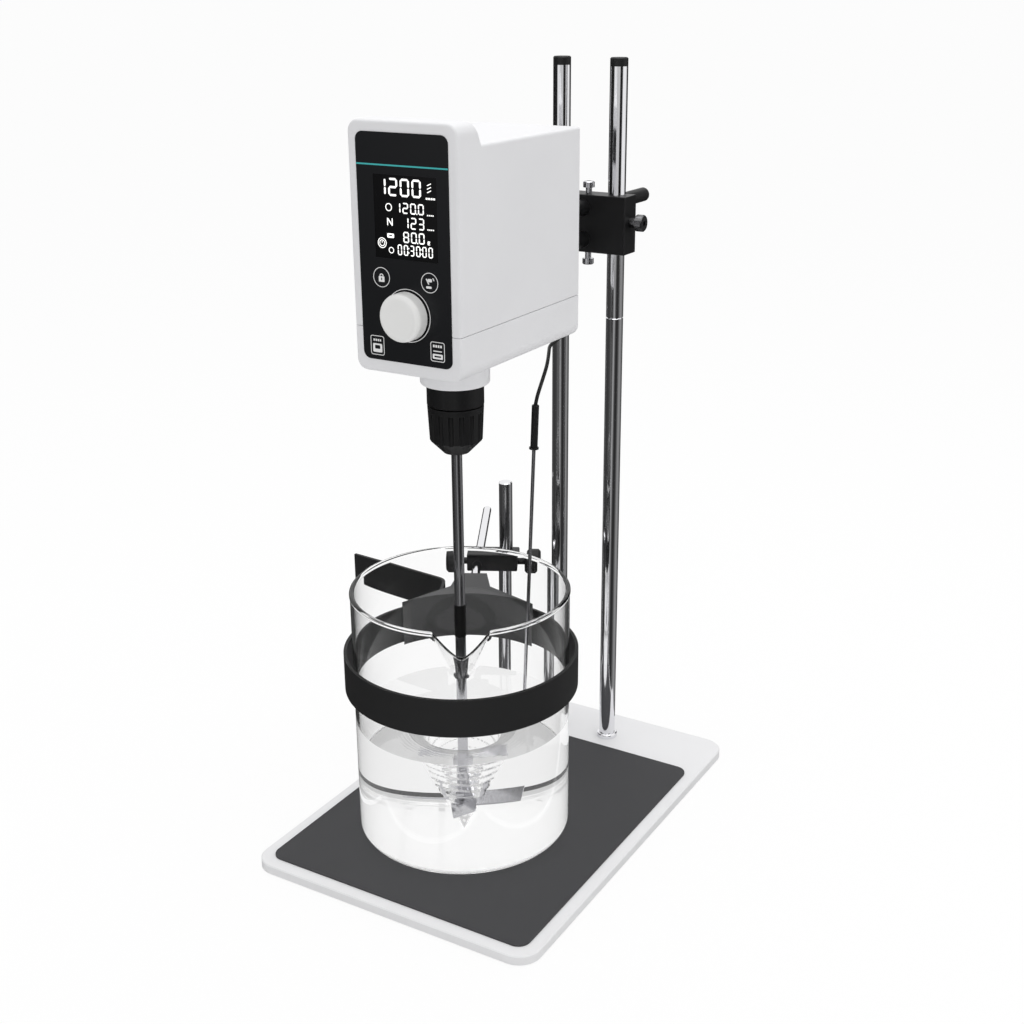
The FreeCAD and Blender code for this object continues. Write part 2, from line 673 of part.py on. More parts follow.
def bench_mat():
    mat = slab(s.plate_width - s.mat_side_margin * 2, s.mat_depth, s.mat_thickness, s.mat_corner)
    place(mat, -(s.plate_width / 2) + s.mat_side_margin, plate_front + s.mat_front_margin, plate_top)
    return named(mat, "bench_mat")


def base_underlay():
    width = s.plate_width - s.underlay_inset * 2
    depth = s.plate_depth - s.underlay_inset * 2
    sheet_body = slab(width, depth, s.underlay_thickness, s.plate_corner - s.underlay_inset)
    place(sheet_body, -(width / 2), -(depth / 2), ZERO)
    return named(sheet_body, "base_underlay")


def base_screws():
    screws = []
    for x, y in screw_places:
        shank_low = plate_low + s.base_screw_head_height + s.counterbore_gap
        head = cylinder(
            s.base_screw_head_radius, s.base_screw_head_height, (x, y, plate_low + s.counterbore_gap)
        )
        shank = cylinder(
            s.base_screw_radius, plate_top - shank_low + s.base_screw_length, (x, y, shank_low)
        )
        socket = hexagon(s.socket_radius, s.socket_depth, (x, y, plate_low + s.counterbore_gap))
        screws.append(cut(fuse(head, shank), socket))
    return named(group(*screws), "base_screws")


def lower_posts():
    posts = []
    for x, y in post_places:
        post = cylinder(s.post_radius, s.post_lower_length, (x, y, plate_top))
        bored = cut(
            post,
            cylinder(
                s.base_screw_radius + s.thread_gap,
                s.base_screw_length + s.stud_end_gap,
                (x, y, plate_top),
            ),
            cylinder(
                s.stud_radius + s.thread_gap,
                s.stud_length + s.stud_end_gap,
                (x, y, joint_height - s.stud_length - s.stud_end_gap),
            ),
        )
        top_edge = circle_at(Z_AXIS, joint_height.value, s.post_radius.value)
        posts.append(dressed("Chamfer", bored, s.post_joint_chamfer, top_edge))
    return named(group(*posts), "lower_posts")


def upper_posts():
    posts = []
    for x, y in post_places:
        rod = cylinder(s.post_radius, s.post_upper_length, (x, y, joint_height))
        low_edge = circle_at(Z_AXIS, joint_height.value, s.post_radius.value)
        rod = dressed("Chamfer", rod, s.post_joint_chamfer, low_edge)
        stud = cylinder(s.stud_radius, s.stud_length, (x, y, joint_height - s.stud_length))
        socket = cylinder(
            s.stud_radius + s.thread_gap,
            s.cap_plug_length + s.stud_end_gap,
            (x, y, upper_top - s.cap_plug_length - s.stud_end_gap),
        )
        posts.append(cut(fuse(rod, stud), socket))
    return named(group(*posts), "upper_posts")


def post_caps():
    caps = []
    for x, y in post_places:
        top = upper_top + s.cap_height
        cap = cylinder(s.post_radius, s.cap_height, (x, y, upper_top))
        cap = dressed("Chamfer", cap, s.cap_edge, circle_at(Z_AXIS, top.value, s.post_radius.value))
        plug = cylinder(s.stud_radius, s.cap_plug_length, (x, y, upper_top - s.cap_plug_length))
        caps.append(fuse(cap, plug))
    return named(group(*caps), "post_caps")


def post_foot_nuts():
    nuts = []
    top = plate_top + s.nut_height
    for x, y in post_places:
        body = cylinder(s.nut_radius, s.nut_height, (x, y, plate_top))
        body = dressed("Fillet", body, s.nut_edge, circle_at(Z_AXIS, top.value, s.nut_radius.value))
        bore = cylinder(s.post_radius + s.thread_gap, s.nut_height, (x, y, plate_top))
        nuts.append(cut(body, bore))
    return named(group(*nuts), "post_foot_nuts")


def short_post():
    post = cylinder(s.short_post_radius, s.short_post_top - plate_top, (short_x, short_y, plate_top))
    top_edge = circle_at(Z_AXIS, s.short_post_top.value, s.short_post_radius.value)
    post = dressed("Chamfer", post, s.short_post_edge, top_edge)
    socket = cylinder(
        s.base_screw_radius + s.thread_gap,
        s.base_screw_length + s.stud_end_gap,
        (short_x, short_y, plate_top),
    )
    return named(cut(post, socket), "short_post")


def clamp_block():
    half = s.block_width / 2
    block = box((-half, half), (block_front, block_rear), (block_low, block_top))
    block = dressed("Fillet", block, s.block_edge, lambda edge: True)
    tools = []
    for x, y in post_places:
        tools.append(
            cylinder(s.post_radius + s.running_gap, block_top - block_low, (x, y, block_low))
        )
    for z in (arm_low, arm_high):
        tools.append(
            cylinder(s.arm_radius + s.running_gap, s.block_depth, (ZERO, block_front, z), "y")
        )
    arm_screw = s.arm_screw_radius + s.thread_gap
    tools.append(cylinder(arm_screw, block_top - arm_high, (ZERO, post_row, arm_high)))
    tools.append(cylinder(arm_screw, arm_low - block_low, (ZERO, post_row, block_low)))
    lock_screw = s.lock_screw_radius + s.thread_gap
    tools.append(
        cylinder(lock_screw, s.block_depth / 2, (post_side, post_row, lock_knob_height()), "y")
    )
    tools.append(
        cylinder(lock_screw, half - post_side, (post_side, post_row, side_screw_height()), "x")
    )
    return named(cut(block, *tools), "clamp_block")


def lock_knob_height():
    return block_top - s.lock_knob_drop


def side_screw_height():
    return block_top - s.side_screw_drop


def arm_screw(label, seat, stand, direction):
    """A vertical screw from the face of the block that it stands on to the arm that it locks."""
    up = direction == "z"
    face = block_top if up else block_low
    head_start = face + stand if up else face - stand
    end = head_start + s.arm_screw_head_height if up else head_start - s.arm_screw_head_height
    length = head_start - seat if up else seat - head_start
    head = cylinder(
        s.arm_screw_head_radius, s.arm_screw_head_height, (ZERO, post_row, head_start), direction
    )
    rim = circle_at(Z_AXIS, end.value, s.arm_screw_head_radius.value)
    head = dressed("Chamfer", head, s.arm_screw_edge, rim)
    shank = cylinder(s.arm_screw_radius, length, (ZERO, post_row, seat), direction)
    back = "-z" if up else "z"
    socket = hexagon(s.socket_radius, s.socket_depth, (ZERO, post_row, end), back)
    return named(cut(fuse(head, shank), socket), label)


def arm_screws():
    arm_screw("upper_arm_screw", arm_high + s.arm_radius + s.running_gap, s.upper_screw_stand, "z")
    arm_screw("lower_arm_screw", arm_low - s.arm_radius - s.running_gap, s.lower_screw_stand, "-z")


def post_lock_knob():
    z = lock_knob_height()
    tip = post_row + s.post_radius + s.running_gap
    grip_start = block_rear + s.lock_knob_gap
    shank = cylinder(s.lock_screw_radius, grip_start - tip, (post_side, tip, z), "y")
    grip = cylinder(s.lock_knob_radius, s.lock_knob_length, (post_side, grip_start, z), "y")
    ends = [grip_start.value, (grip_start + s.lock_knob_length).value]
    grip = dressed(
        "Chamfer",
        grip,
        s.lock_knob_edge,
        lambda edge: any(circle_at(Y_AXIS, end, s.lock_knob_radius.value)(edge) for end in ends),
    )
    return named(fuse(shank, grip), "post_lock_knob")


def side_thumb_screw():
    z = side_screw_height()
    tip = post_side + s.post_radius + s.running_gap
    face = s.block_width / 2 + s.part_gap
    head_start = face + s.side_collar_length
    end = head_start + s.side_knob_length
    shank = cylinder(s.lock_screw_radius, face - tip, (tip, post_row, z), "x")
    collar = cylinder(s.side_collar_radius, s.side_collar_length, (face, post_row, z), "x")
    head = cylinder(s.side_knob_radius, s.side_knob_length, (head_start, post_row, z), "x")
    rim = circle_at(X_AXIS, end.value, s.side_knob_radius.value)
    head = dressed("Chamfer", head, s.side_knob_edge, rim)
    socket = hexagon(s.socket_radius, s.socket_depth, (end, post_row, z), "-x")
    return named(cut(fuse(shank, collar, head), socket), "side_thumb_screw")


def support_arms():
    start = arm_bracket_rear() - s.bracket_depth
    arms = [
        cylinder(s.arm_radius, block_rear + s.arm_rear_reach - start, (ZERO, start, z), "y")
        for z in (arm_low, arm_high)
    ]
    return named(group(*arms), "support_arms")


def arm_bracket_rear():
    return cavity_rear - s.bracket_rear_gap


def arm_bracket():
    half = s.bracket_width / 2
    rear = arm_bracket_rear()
    top = arm_high + s.arm_radius + s.bracket_top_wall
    block = box((-half, half), (rear - s.bracket_depth, rear), (gear_plate_top, top))
    bores = [
        cylinder(
            s.arm_radius + s.thread_gap, s.bracket_depth, (ZERO, rear - s.bracket_depth, z), "y"
        )
        for z in (arm_low, arm_high)
    ]
    lock = cylinder(s.arm_screw_radius, top - arm_high, (ZERO, rear - s.bracket_depth / 2, arm_high))
    return named(cut(block, lock, *bores), "arm_bracket")


def housing_shell():
    """Both shells in one piece, before they are parted at the joint."""
    half = s.head_width / 2
    outer = box((-half, half), (head_front, head_rear), (head_low, head_top))
    outer = dressed("Fillet", outer, s.head_corner, straight_along(Y_AXIS))
    outer = dressed("Fillet", outer, s.head_edge, edges_at(Y_AXIS, head_front.value))
    slope_start = head_front + s.bezel_depth
    wedge = prism_along_z(
        [
            (slope_start, head_top + s.part_gap),
            (slope_start, head_top),
            (slope_start + s.bezel_slope, rear_top),
            (head_rear + s.part_gap, rear_top),
            (head_rear + s.part_gap, head_top + s.part_gap),
        ],
        s.head_width + s.part_gap * 2,
    )
    wedge.Placement = Placement(Vector(), Rotation(Vector(1, 1, 1), THIRD_TURN))
    bind(wedge, "Placement.Base.x", -half - s.part_gap)
    shell = cut(outer, wedge)
    step_edge = lambda edge: straight_along(Y_AXIS)(edge) and edge.BoundBox.ZMin > rear_top.value - 0.01
    shell = dressed("Fillet", shell, s.head_edge, step_edge)
    cavity = box(
        (-cavity_side, cavity_side), (cavity_front, cavity_rear), (cavity_low, cavity_top)
    )
    return cut(shell, cavity, *housing_openings())


def housing_openings():
    """Everything that is cut through the walls of the shells."""
    fascia_half = s.fascia_width / 2 + s.running_gap
    recess = box(
        (-fascia_half, fascia_half),
        (head_front - s.part_gap, fascia_back),
        (fascia_low - s.running_gap, fascia_top + s.running_gap),
    )
    recess = dressed("Fillet", recess, s.fascia_corner, straight_along(Y_AXIS))
    display = box(*display_space(s.part_gap, fascia_back - s.part_gap, cavity_front + s.part_gap))
    wall = s.front_wall + s.part_gap
    knob_z = head_low + s.knob_rise
    bush = cylinder(
        s.encoder_bush_radius + s.part_gap, wall, (s.knob_shift, head_front, knob_z), "y"
    )
    spigot = cylinder(
        s.boss_spigot_radius + s.thread_gap, s.shell_wall, (ZERO, spindle_y, head_low)
    )
    arms = [
        cylinder(s.arm_radius + s.part_gap, s.shell_wall, (ZERO, cavity_rear, z), "y")
        for z in (arm_low, arm_high)
    ]
    inlet_half = s.inlet_width / 2 - s.inlet_rim + s.running_gap
    inlet_tall = s.inlet_height / 2 - s.inlet_rim + s.running_gap
    inlet = box(
        (-inlet_half, inlet_half), (cavity_rear, head_rear), (inlet_z - inlet_tall, inlet_z + inlet_tall)
    )
    socket = cylinder(
        s.probe_socket_radius + s.thread_gap,
        s.shell_wall,
        (s.probe_socket_shift, cavity_rear, head_low + s.probe_socket_rise),
        "y",
    )
    screws = [
        cylinder(s.housing_screw_radius + s.running_gap, s.shell_wall, (x, y, head_low))
        for x, y in housing_screw_places()
    ]
    return [recess, display, bush, spigot, inlet, socket] + arms + screws


def housing_screw_places():
    side = s.head_width / 2 - s.housing_screw_inset
    front = head_front + s.housing_screw_inset
    rear = head_rear - s.housing_screw_inset
    return [(side, front), (-side, front), (side, rear), (-side, rear)]


def screw_boss(x, y):
    """A screw pillar of the lower shell."""
    pillar = cylinder(s.pillar_radius, s.housing_screw_length, (x, y, cavity_low))
    hole = cylinder(
        s.housing_screw_radius + s.thread_gap, s.housing_screw_length, (x, y, cavity_low)
    )
    return cut(pillar, hole)


def housings():
    """The lower and the upper shell, parted at the joint line."""
    reach = s.head_depth + s.head_gap
    half = s.head_width
    lower_space = box((-half, half), (head_rear - reach, head_rear + s.part_gap), (head_low, split))
    lower = common(housing_shell(), lower_space)
    pillars = [screw_boss(x, y) for x, y in housing_screw_places()]
    named(fuse(lower, *pillars), "lower_housing")
    top = head_top + s.part_gap
    upper_space = box((-half, half), (head_rear - reach, head_rear + s.part_gap), (split, top))
    named(cut(common(housing_shell(), upper_space), seam_groove()), "upper_housing")


def seam_groove():
    """A shallow groove round the outside of the upper shell, along its joint with the lower one."""
    half = s.head_width / 2
    height = (split, split + s.seam_height)
    inside = box(
        (-half + s.seam_depth, half - s.seam_depth),
        (head_front + s.seam_depth, head_rear - s.seam_depth),
        height,
    )
    around = box(
        (-half - s.part_gap, half + s.part_gap),
        (head_front - s.part_gap, head_rear + s.part_gap),
        height,
    )
    return cut(around, inside)


def housing_screws():
    screws = []
    for x, y in housing_screw_places():
        shank = cylinder(s.housing_screw_radius, s.housing_screw_length, (x, y, head_low))
        head = cylinder(s.housing_screw_head, s.housing_screw_head_height, (x, y, head_low), "-z")
        screws.append(fuse(shank, head))
    return named(group(*screws), "housing_screws")


def display_space(gap, front, rear):
    """The x, y and z ranges of the display window, larger by a gap all round."""
    half = s.display_width / 2 + gap
    tall = s.display_height / 2 + gap
    z = head_top - s.display_drop
    return (s.display_shift - half, s.display_shift + half), (front, rear), (z - tall, z + tall)


def front_fascia():
    half = s.fascia_width / 2
    panel = box((-half, half), (fascia_face, fascia_back), (fascia_low, fascia_top))
    panel = dressed("Fillet", panel, s.fascia_corner, straight_along(Y_AXIS))
    window = box(*display_space(s.running_gap, fascia_face, fascia_back))
    knob_z = head_low + s.knob_rise
    hole = cylinder(
        s.encoder_bush_radius + s.part_gap,
        s.fascia_thickness,
        (s.knob_shift, fascia_face, knob_z),
        "y",
    )
    return named(cut(panel, window, hole), "front_fascia")


def board_face():
    """Front face of the control board."""
    return fascia_face + s.display_inset + s.display_depth


def display_module():
    module = box(*display_space(ZERO, fascia_face + s.display_inset, board_face()))
    return named(module, "display_module")


def control_board():
    half = cavity_side - s.board_side_gap
    low = head_low + s.control_board_rise
    front = board_face()
    top = cavity_top - s.control_board_room
    board = box((-half, half), (front, front + s.board_thickness), (low, top))
    return named(board, "control_board")


def knob_rear():
    return fascia_face - s.knob_gap


def encoder_shaft_end():
    return knob_rear() - s.knob_depth + s.encoder_shaft_cover


def encoder_parts():
    z = head_low + s.knob_rise
    half = s.encoder_size / 2
    back = board_face()
    front = cavity_front + s.part_gap
    body = box((s.knob_shift - half, s.knob_shift + half), (front, back), (z - half, z + half))
    bush_front = fascia_face + s.part_gap
    bush = cylinder(s.encoder_bush_radius, front - bush_front, (s.knob_shift, bush_front, z), "y")
    shaft_back = encoder_shaft_end() + s.encoder_shaft_length
    bore = cylinder(
        s.encoder_radius + s.running_gap,
        shaft_back + s.plunger_length + s.plunger_room - bush_front,
        (s.knob_shift, bush_front, z),
        "y",
    )
    named(cut(fuse(body, bush), bore), "encoder_body")
    shaft = cylinder(
        s.encoder_radius, s.encoder_shaft_length, (s.knob_shift, encoder_shaft_end(), z), "y"
    )
    named(shaft, "encoder_shaft")
    plunger = cylinder(
        s.encoder_radius - s.part_gap,
        s.plunger_length,
        (s.knob_shift, shaft_back + s.running_gap, z),
        "y",
    )
    named(plunger, "switch_plunger")


def control_knob():
    """A plain round knob with a rounded front edge and a blind bore for the encoder shaft."""
    z = head_low + s.knob_rise
    knob = cylinder(s.knob_radius, s.knob_depth, (s.knob_shift, knob_rear(), z), "-y")
    front = knob_rear() - s.knob_depth
    front_edge = circle_at(Y_AXIS, front.value, s.knob_radius.value)
    knob = dressed("Fillet", knob, s.knob_edge, front_edge)
    bore = cylinder(
        s.encoder_radius + s.thread_gap,
        knob_rear() - encoder_shaft_end(),
        (s.knob_shift, encoder_shaft_end(), z),
        "y",
    )
    return named(cut(knob, bore), "control_knob")


def spindle_boss():
    ring = cylinder(s.boss_radius, s.boss_drop, (ZERO, spindle_y, boss_low))
    ring = dressed(
        "Fillet", ring, s.boss_edge, circle_at(Z_AXIS, boss_low.value, s.boss_radius.value)
    )
    spigot = cylinder(s.boss_spigot_radius, s.boss_spigot_height, (ZERO, spindle_y, head_low))
    lip_top = boss_low + s.boss_lip
    lip_hole = cylinder(s.boss_lip_bore, s.boss_lip, (ZERO, spindle_y, boss_low))
    bore = cylinder(
        s.bearing_radius + s.thread_gap,
        head_low + s.boss_spigot_height - lip_top,
        (ZERO, spindle_y, lip_top),
    )
    return named(cut(fuse(ring, spigot), lip_hole, bore), "spindle_boss")


def bearing_heights():
    """Lower end of each bearing: one on the lip of the boss, one centred in the gear plate."""
    in_plate = gear_plate_low + s.gear_plate_thickness / 2 - s.bearing_height / 2
    return [boss_low + s.boss_lip, in_plate]


def spindle_bearings():
    rings = [
        cut(
            cylinder(s.bearing_radius, s.bearing_height, (ZERO, spindle_y, z)),
            cylinder(s.spindle_radius + s.running_gap, s.bearing_height, (ZERO, spindle_y, z)),
        )
        for z in bearing_heights()
    ]
    return named(group(*rings), "spindle_bearings")


def spindle():
    low = collar_top - s.chuck_seat
    shaft = cylinder(
        s.spindle_radius, head_low + s.spindle_top - low, (ZERO, spindle_y, low)
    )
    return named(shaft, "spindle")


def gear_outline(teeth, turn):
    """A spur gear's outline with straight tooth flanks; turn is in degrees."""
    module = s.gear_module.value
    pitch = module * teeth / 2
    half_tooth = (math.pi * module - s.tooth_backlash.value) / 4
    slope = math.tan(math.radians(s.tooth_slope.value))
    root = s.tooth_root.value * module
    levels = [
        (pitch - root, half_tooth + root * slope),
        (pitch + module, half_tooth - module * slope),
    ]
    points = []
    for tooth in range(teeth):
        middle = math.radians(turn) + 2 * math.pi * tooth / teeth
        for side in (-1, 1):
            for radius, half in levels[::-side]:
                angle = middle + side * half / radius
                points.append(Vector(radius * math.cos(angle), radius * math.sin(angle), 0))
    return Part.makePolygon(points + points[:1])


def gear(label, teeth, turn, bore, thickness, x, y, z):
    """A gear with a bore; its shape is set from the sheet's values, then it is placed."""
    face = Part.Face(gear_outline(int(teeth.value), turn))
    hole = Part.makeCylinder(bore.value, thickness.value)
    wheel = doc.addObject("Part::Feature", "Gear")
    wheel.Shape = face.extrude(Vector(0, 0, thickness.value)).cut(hole)
    wheel.Placement = Placement(Vector(x.value, y.value, z.value), Rotation())
    return named(wheel, label)


def gears():
    """A tooth of the spindle gear points at the pinion, where the pinion has a gap."""
    low = gear_top - s.gear_thickness
    bore = s.spindle_radius + s.thread_gap
    gear("spindle_gear", s.gear_teeth, QUARTER_TURN, bore, s.gear_thickness, ZERO, spindle_y, low)
    half_tooth = HALF_TURN / s.pinion_teeth.value
    bore = s.motor_shaft_radius + s.thread_gap
    turn = half_tooth - QUARTER_TURN
    gear("motor_pinion", s.pinion_teeth, turn, bore, s.gear_thickness, ZERO, motor_y, low)


def gear_plate():
    half = cavity_side - s.gear_plate_side_gap
    front = head_front + s.gear_plate_front
    rear = head_rear - s.gear_plate_rear
    plate = box((-half, half), (front, rear), (gear_plate_low, gear_plate_top))
    bearing_hole = cylinder(
        s.bearing_radius + s.thread_gap, s.gear_plate_thickness, (ZERO, spindle_y, gear_plate_low)
    )
    shaft_hole = cylinder(
        s.motor_shaft_radius + s.part_gap, s.gear_plate_thickness, (ZERO, motor_y, gear_plate_low)
    )
    return named(cut(plate, bearing_hole, shaft_hole), "gear_plate")


def plate_standoffs():
    half = cavity_side - s.gear_plate_side_gap - s.standoff_inset
    front = head_front + s.gear_plate_front + s.standoff_inset
    rear = head_rear - s.gear_plate_rear - s.standoff_inset
    posts = [
        cylinder(s.standoff_radius, gear_plate_low - cavity_low, (x, y, cavity_low))
        for x in (-half, half)
        for y in (front, rear)
    ]
    return named(group(*posts), "plate_standoffs")


def motor_parts():
    can = cylinder(s.motor_radius, motor_height, (ZERO, motor_y, gear_plate_top))
    rotor_low = gear_plate_top + s.motor_wall + s.rotor_end_gap
    rotor_length = motor_height - (s.motor_wall + s.rotor_end_gap) * 2
    room = cylinder(
        s.rotor_radius + s.rotor_air_gap,
        motor_height - s.motor_wall * 2,
        (ZERO, motor_y, gear_plate_top + s.motor_wall),
    )
    shaft_bore = cylinder(
        s.motor_shaft_radius + s.running_gap,
        motor_height - s.motor_wall / 2,
        (ZERO, motor_y, gear_plate_top),
    )
    named(cut(can, room, shaft_bore), "motor_can")
    rotor = cylinder(s.rotor_radius, rotor_length, (ZERO, motor_y, rotor_low))
    shaft_low = gear_top - s.gear_thickness
    shaft = cylinder(
        s.motor_shaft_radius, motor_top - s.motor_wall - shaft_low, (ZERO, motor_y, shaft_low)
    )
    named(fuse(rotor, shaft), "motor_rotor")


def power_board_range():
    half = cavity_side - s.board_side_gap
    return (-half, half), (head_front + s.power_board_front, head_rear - s.power_board_rear)


def power_board():
    x, y = power_board_range()
    low = power_board_low
    board = box(x, y, (low, low + s.board_thickness))
    capacitors = [
        cylinder(s.capacitor_radius, s.capacitor_height, (side, y[0] + s.capacitor_inset, low))
        for side in (x[0] + s.capacitor_inset, x[1] - s.capacitor_inset)
    ]
    return named(fuse(board, *capacitors), "power_board")


def board_spacers():
    x, y = power_board_range()
    height = power_board_low - gear_plate_top
    posts = [
        cylinder(s.spacer_radius, height, (side, end, gear_plate_top))
        for side in (x[0] + s.spacer_inset, x[1] - s.spacer_inset)
        for end in (y[0] + s.spacer_inset, y[1] - s.spacer_inset)
    ]
    return named(group(*posts), "board_spacers")


def inlet_module():
    half = s.inlet_width / 2
    tall = s.inlet_height / 2
    z = inlet_z
    face = head_rear + s.inlet_flange
    flange = box((-half, half), (head_rear, face), (z - tall, z + tall))
    flange = dressed("Fillet", flange, s.inlet_flange, straight_along(Y_AXIS))
    body_half = half - s.inlet_rim
    body_tall = tall - s.inlet_rim
    body = box(
        (-body_half, body_half), (head_rear - s.inlet_depth, head_rear), (z - body_tall, z + body_tall)
    )
    across = s.inlet_socket_width / 2
    up = s.inlet_socket_height / 2
    recess = box(
        (-s.inlet_shift - across, -s.inlet_shift + across),
        (face - s.inlet_socket_depth, face),
        (z - up, z + up),
    )
    recess = dressed("Chamfer", recess, s.inlet_rim, upper_corners(z.value))
    switch_half = s.switch_width / 2
    switch_tall = s.switch_height / 2
    switch = box(
        (s.switch_shift - switch_half, s.switch_shift + switch_half),
        (face - s.inlet_socket_depth, face),
        (z - switch_tall, z + switch_tall),
    )
    frame = cut(fuse(flange, body), recess, switch)
    pins = []
    for step, lift in ((-1, -1), (0, 1), (1, -1)):
        x = -s.inlet_shift + across / 2 * step
        pin_z = z + up / 4 * lift
        pins.append(
            box(
                (x - s.inlet_rim / 2, x + s.inlet_rim / 2),
                (face - s.inlet_socket_depth, face - s.inlet_socket_depth + s.inlet_pin_length),
                (pin_z - s.inlet_rim, pin_z + s.inlet_rim),
            )
        )
    pivot_pin = cylinder(
        s.rocker_pin_radius,
        s.switch_width + s.inlet_rim * 2,
        (s.switch_shift - switch_half - s.inlet_rim, rocker_pivot(), z),
        "x",
    )
    return named(fuse(frame, pivot_pin, *pins), "inlet_module")


def upper_corners(height):
    """Picks the edges along Y that lie above a height."""
    along = straight_along(Y_AXIS)
    return lambda edge: along(edge) and edge.BoundBox.ZMin > height


def rocker_pivot():
    """Depth of the rocker's pivot, midway through the rocker."""
    return head_rear + s.inlet_flange + s.rocker_proud - s.rocker_depth / 2


def power_rocker():
    """A rocker with a hollow face, built about its pivot and tilted to its off position."""
    half = s.switch_width / 2 - s.running_gap * 2
    tall = s.switch_height / 2 - s.rocker_gap
    deep = s.rocker_depth / 2
    rocker = box((-half, half), (-deep, deep), (-tall, tall))
    hollow_axis = deep - s.rocker_proud / 2 + s.rocker_hollow
    hollow = cylinder(
        s.rocker_hollow, s.switch_width, (-(s.switch_width / 2), hollow_axis, ZERO), "x"
    )
    tilted = doc.addObject("Part::Compound", "Rocker")
    pin_hole = cylinder(
        s.rocker_pin_radius + s.running_gap, s.switch_width, (-(s.switch_width / 2), ZERO, ZERO), "x"
    )
    tilted.Links = [cut(rocker, hollow, pin_hole)]
    tilted.Placement = Placement(Vector(), Rotation(Vector(1, 0, 0), s.rocker_tilt.value))
    bind(tilted, "Placement.Rotation.Angle", s.rocker_tilt)
    place(tilted, s.switch_shift, rocker_pivot(), inlet_z)
    return named(tilted, "power_rocker")


def probe_socket():
    z = head_low + s.probe_socket_rise
    x = s.probe_socket_shift
    length = s.shell_wall + s.probe_socket_proud
    socket = cylinder(s.probe_socket_radius, length, (x, cavity_rear, z), "y")
    bore = cylinder(s.probe_socket_bore, length / 2, (x, cavity_rear + length / 2, z), "y")
    return named(cut(socket, bore), "probe_socket")


def plug_start():
    return head_rear + s.probe_socket_proud


def probe_plug():
    z = head_low + s.probe_socket_rise
    x = s.probe_socket_shift
    plug = cylinder(s.probe_plug_radius, s.probe_plug_length, (x, plug_start(), z), "y")
    relief = cone(
        s.probe_plug_radius - s.part_gap * 3,
        s.probe_cable_radius + s.part_gap * 2,
        s.probe_relief_length,
        (x, plug_start() + s.probe_plug_length, z),
        "y",
    )
    pin = cylinder(
        s.probe_socket_bore - s.thread_gap, s.probe_socket_proud / 2, (x, plug_start(), z), "-y"
    )
    return named(fuse(plug, relief, pin), "probe_plug")


# The probe lead's route: hand chosen points from the plug to the top of the probe's grip
CABLE_POINTS = [
    Vector(19.0, 61.6, 420.0),
    Vector(19.0, 73.0, 420.0),
    Vector(18.5, 80.5, 410.0),
    Vector(16.0, 78.5, 397.5),
    Vector(12.0, 69.0, 389.0),
    Vector(9.4, 57.5, 385.2),
    Vector(14.1, 48.0, 382.8),
    Vector(18.2, 39.5, 379.9),
    Vector(21.4, 32.0, 376.7),
    Vector(23.4, 25.5, 373.1),
    Vector(24.6, 20.0, 369.1),
    Vector(25.5, 15.0, 365.0),
    Vector(25.8, 11.2, 360.7),
    Vector(25.6, 8.9, 356.4),
    Vector(25.1, 8.1, 351.8),
]


# The share of the shorter run beside a point of the lead that its arc takes up
ARC_SHARE = 0.45


def rounded_route(points, bend=None):
    """Straight runs joined by tangent arcs of one bend radius, or as large as the runs allow."""
    edges = []
    start = points[0]
    for before, point, after in zip(points, points[1:], points[2:]):
        to_point = point - before
        from_point = after - point
        turn = to_point.getAngle(from_point)
        room = ARC_SHARE * min(to_point.Length, from_point.Length)
        setback = bend * math.tan(turn / 2) if bend else room
        radius = setback / math.tan(turn / 2)
        print("route arc radius %.1f mm at %s" % (radius, tuple(point)))
        arc_start = point - to_point.normalize() * setback
        arc_end = point + from_point.normalize() * setback
        towards = (arc_start + arc_end) * 0.5 - point
        depth = radius / math.cos(turn / 2) - radius
        arc_middle = point + towards.normalize() * depth
        edges.append(Part.LineSegment(start, arc_start).toShape())
        edges.append(Part.Arc(arc_start, arc_middle, arc_end).toShape())
        start = arc_end
    edges.append(Part.LineSegment(start, points[-1]).toShape())
    return Part.Wire(edges)


def probe_cable():
    route = rounded_route(CABLE_POINTS)
    direction = CABLE_POINTS[1] - CABLE_POINTS[0]
    section = Part.Wire(Part.makeCircle(s.probe_cable_radius.value, CABLE_POINTS[0], direction))
    tube = route.makePipeShell([section], True, False)
    area = math.pi * s.probe_cable_radius.value ** 2
    print("probe lead %.1f mm, volume ratio %.4f" % (route.Length, tube.Volume / (area * route.Length)))
    cable = doc.addObject("Part::Feature", "Cable")
    cable.Shape = tube
    return named(cable, "probe_cable")


def leaning(solid, label):
    """Hangs a piece of the probe, built downwards from the origin, under the end of its lead."""
    end = CABLE_POINTS[-1]
    holder = doc.addObject("Part::Compound", "Probe")
    holder.Links = [solid]
    holder.Placement = Placement(end, Rotation(Vector(0, 1, 0), s.probe_lean.value))
    bind(holder, "Placement.Rotation.Angle", s.probe_lean)
    return named(holder, label)


def probe_pieces():
    grip = cylinder(s.probe_grip_radius, s.probe_grip_length, (ZERO, ZERO, ZERO), "-z")
    rim = circle_at(Z_AXIS, 0, s.probe_grip_radius.value)
    grip = dressed("Chamfer", grip, s.probe_grip_edge, rim)
    flange = cylinder(
        s.probe_flange_radius,
        s.probe_flange_height,
        (ZERO, ZERO, s.probe_flange_height - s.probe_grip_length),
        "-z",
    )
    leaning(fuse(grip, flange), "probe_grip")
    rod = cylinder(s.probe_rod_radius, s.probe_rod_length, (ZERO, ZERO, -s.probe_grip_length), "-z")
    low = -(s.probe_grip_length + s.probe_rod_length)
    tip_edge = circle_at(Z_AXIS, low.value, s.probe_rod_radius.value)
    rod = dressed("Fillet", rod, s.probe_rod_radius / 2, tip_edge)
    leaning(rod, "probe_rod")


def jaw_angles():
    return [QUARTER_TURN + FULL_TURN / JAWS * number for number in range(JAWS)]


def jaw_low():
    return nose_low + s.nose_wall + s.part_gap * 2


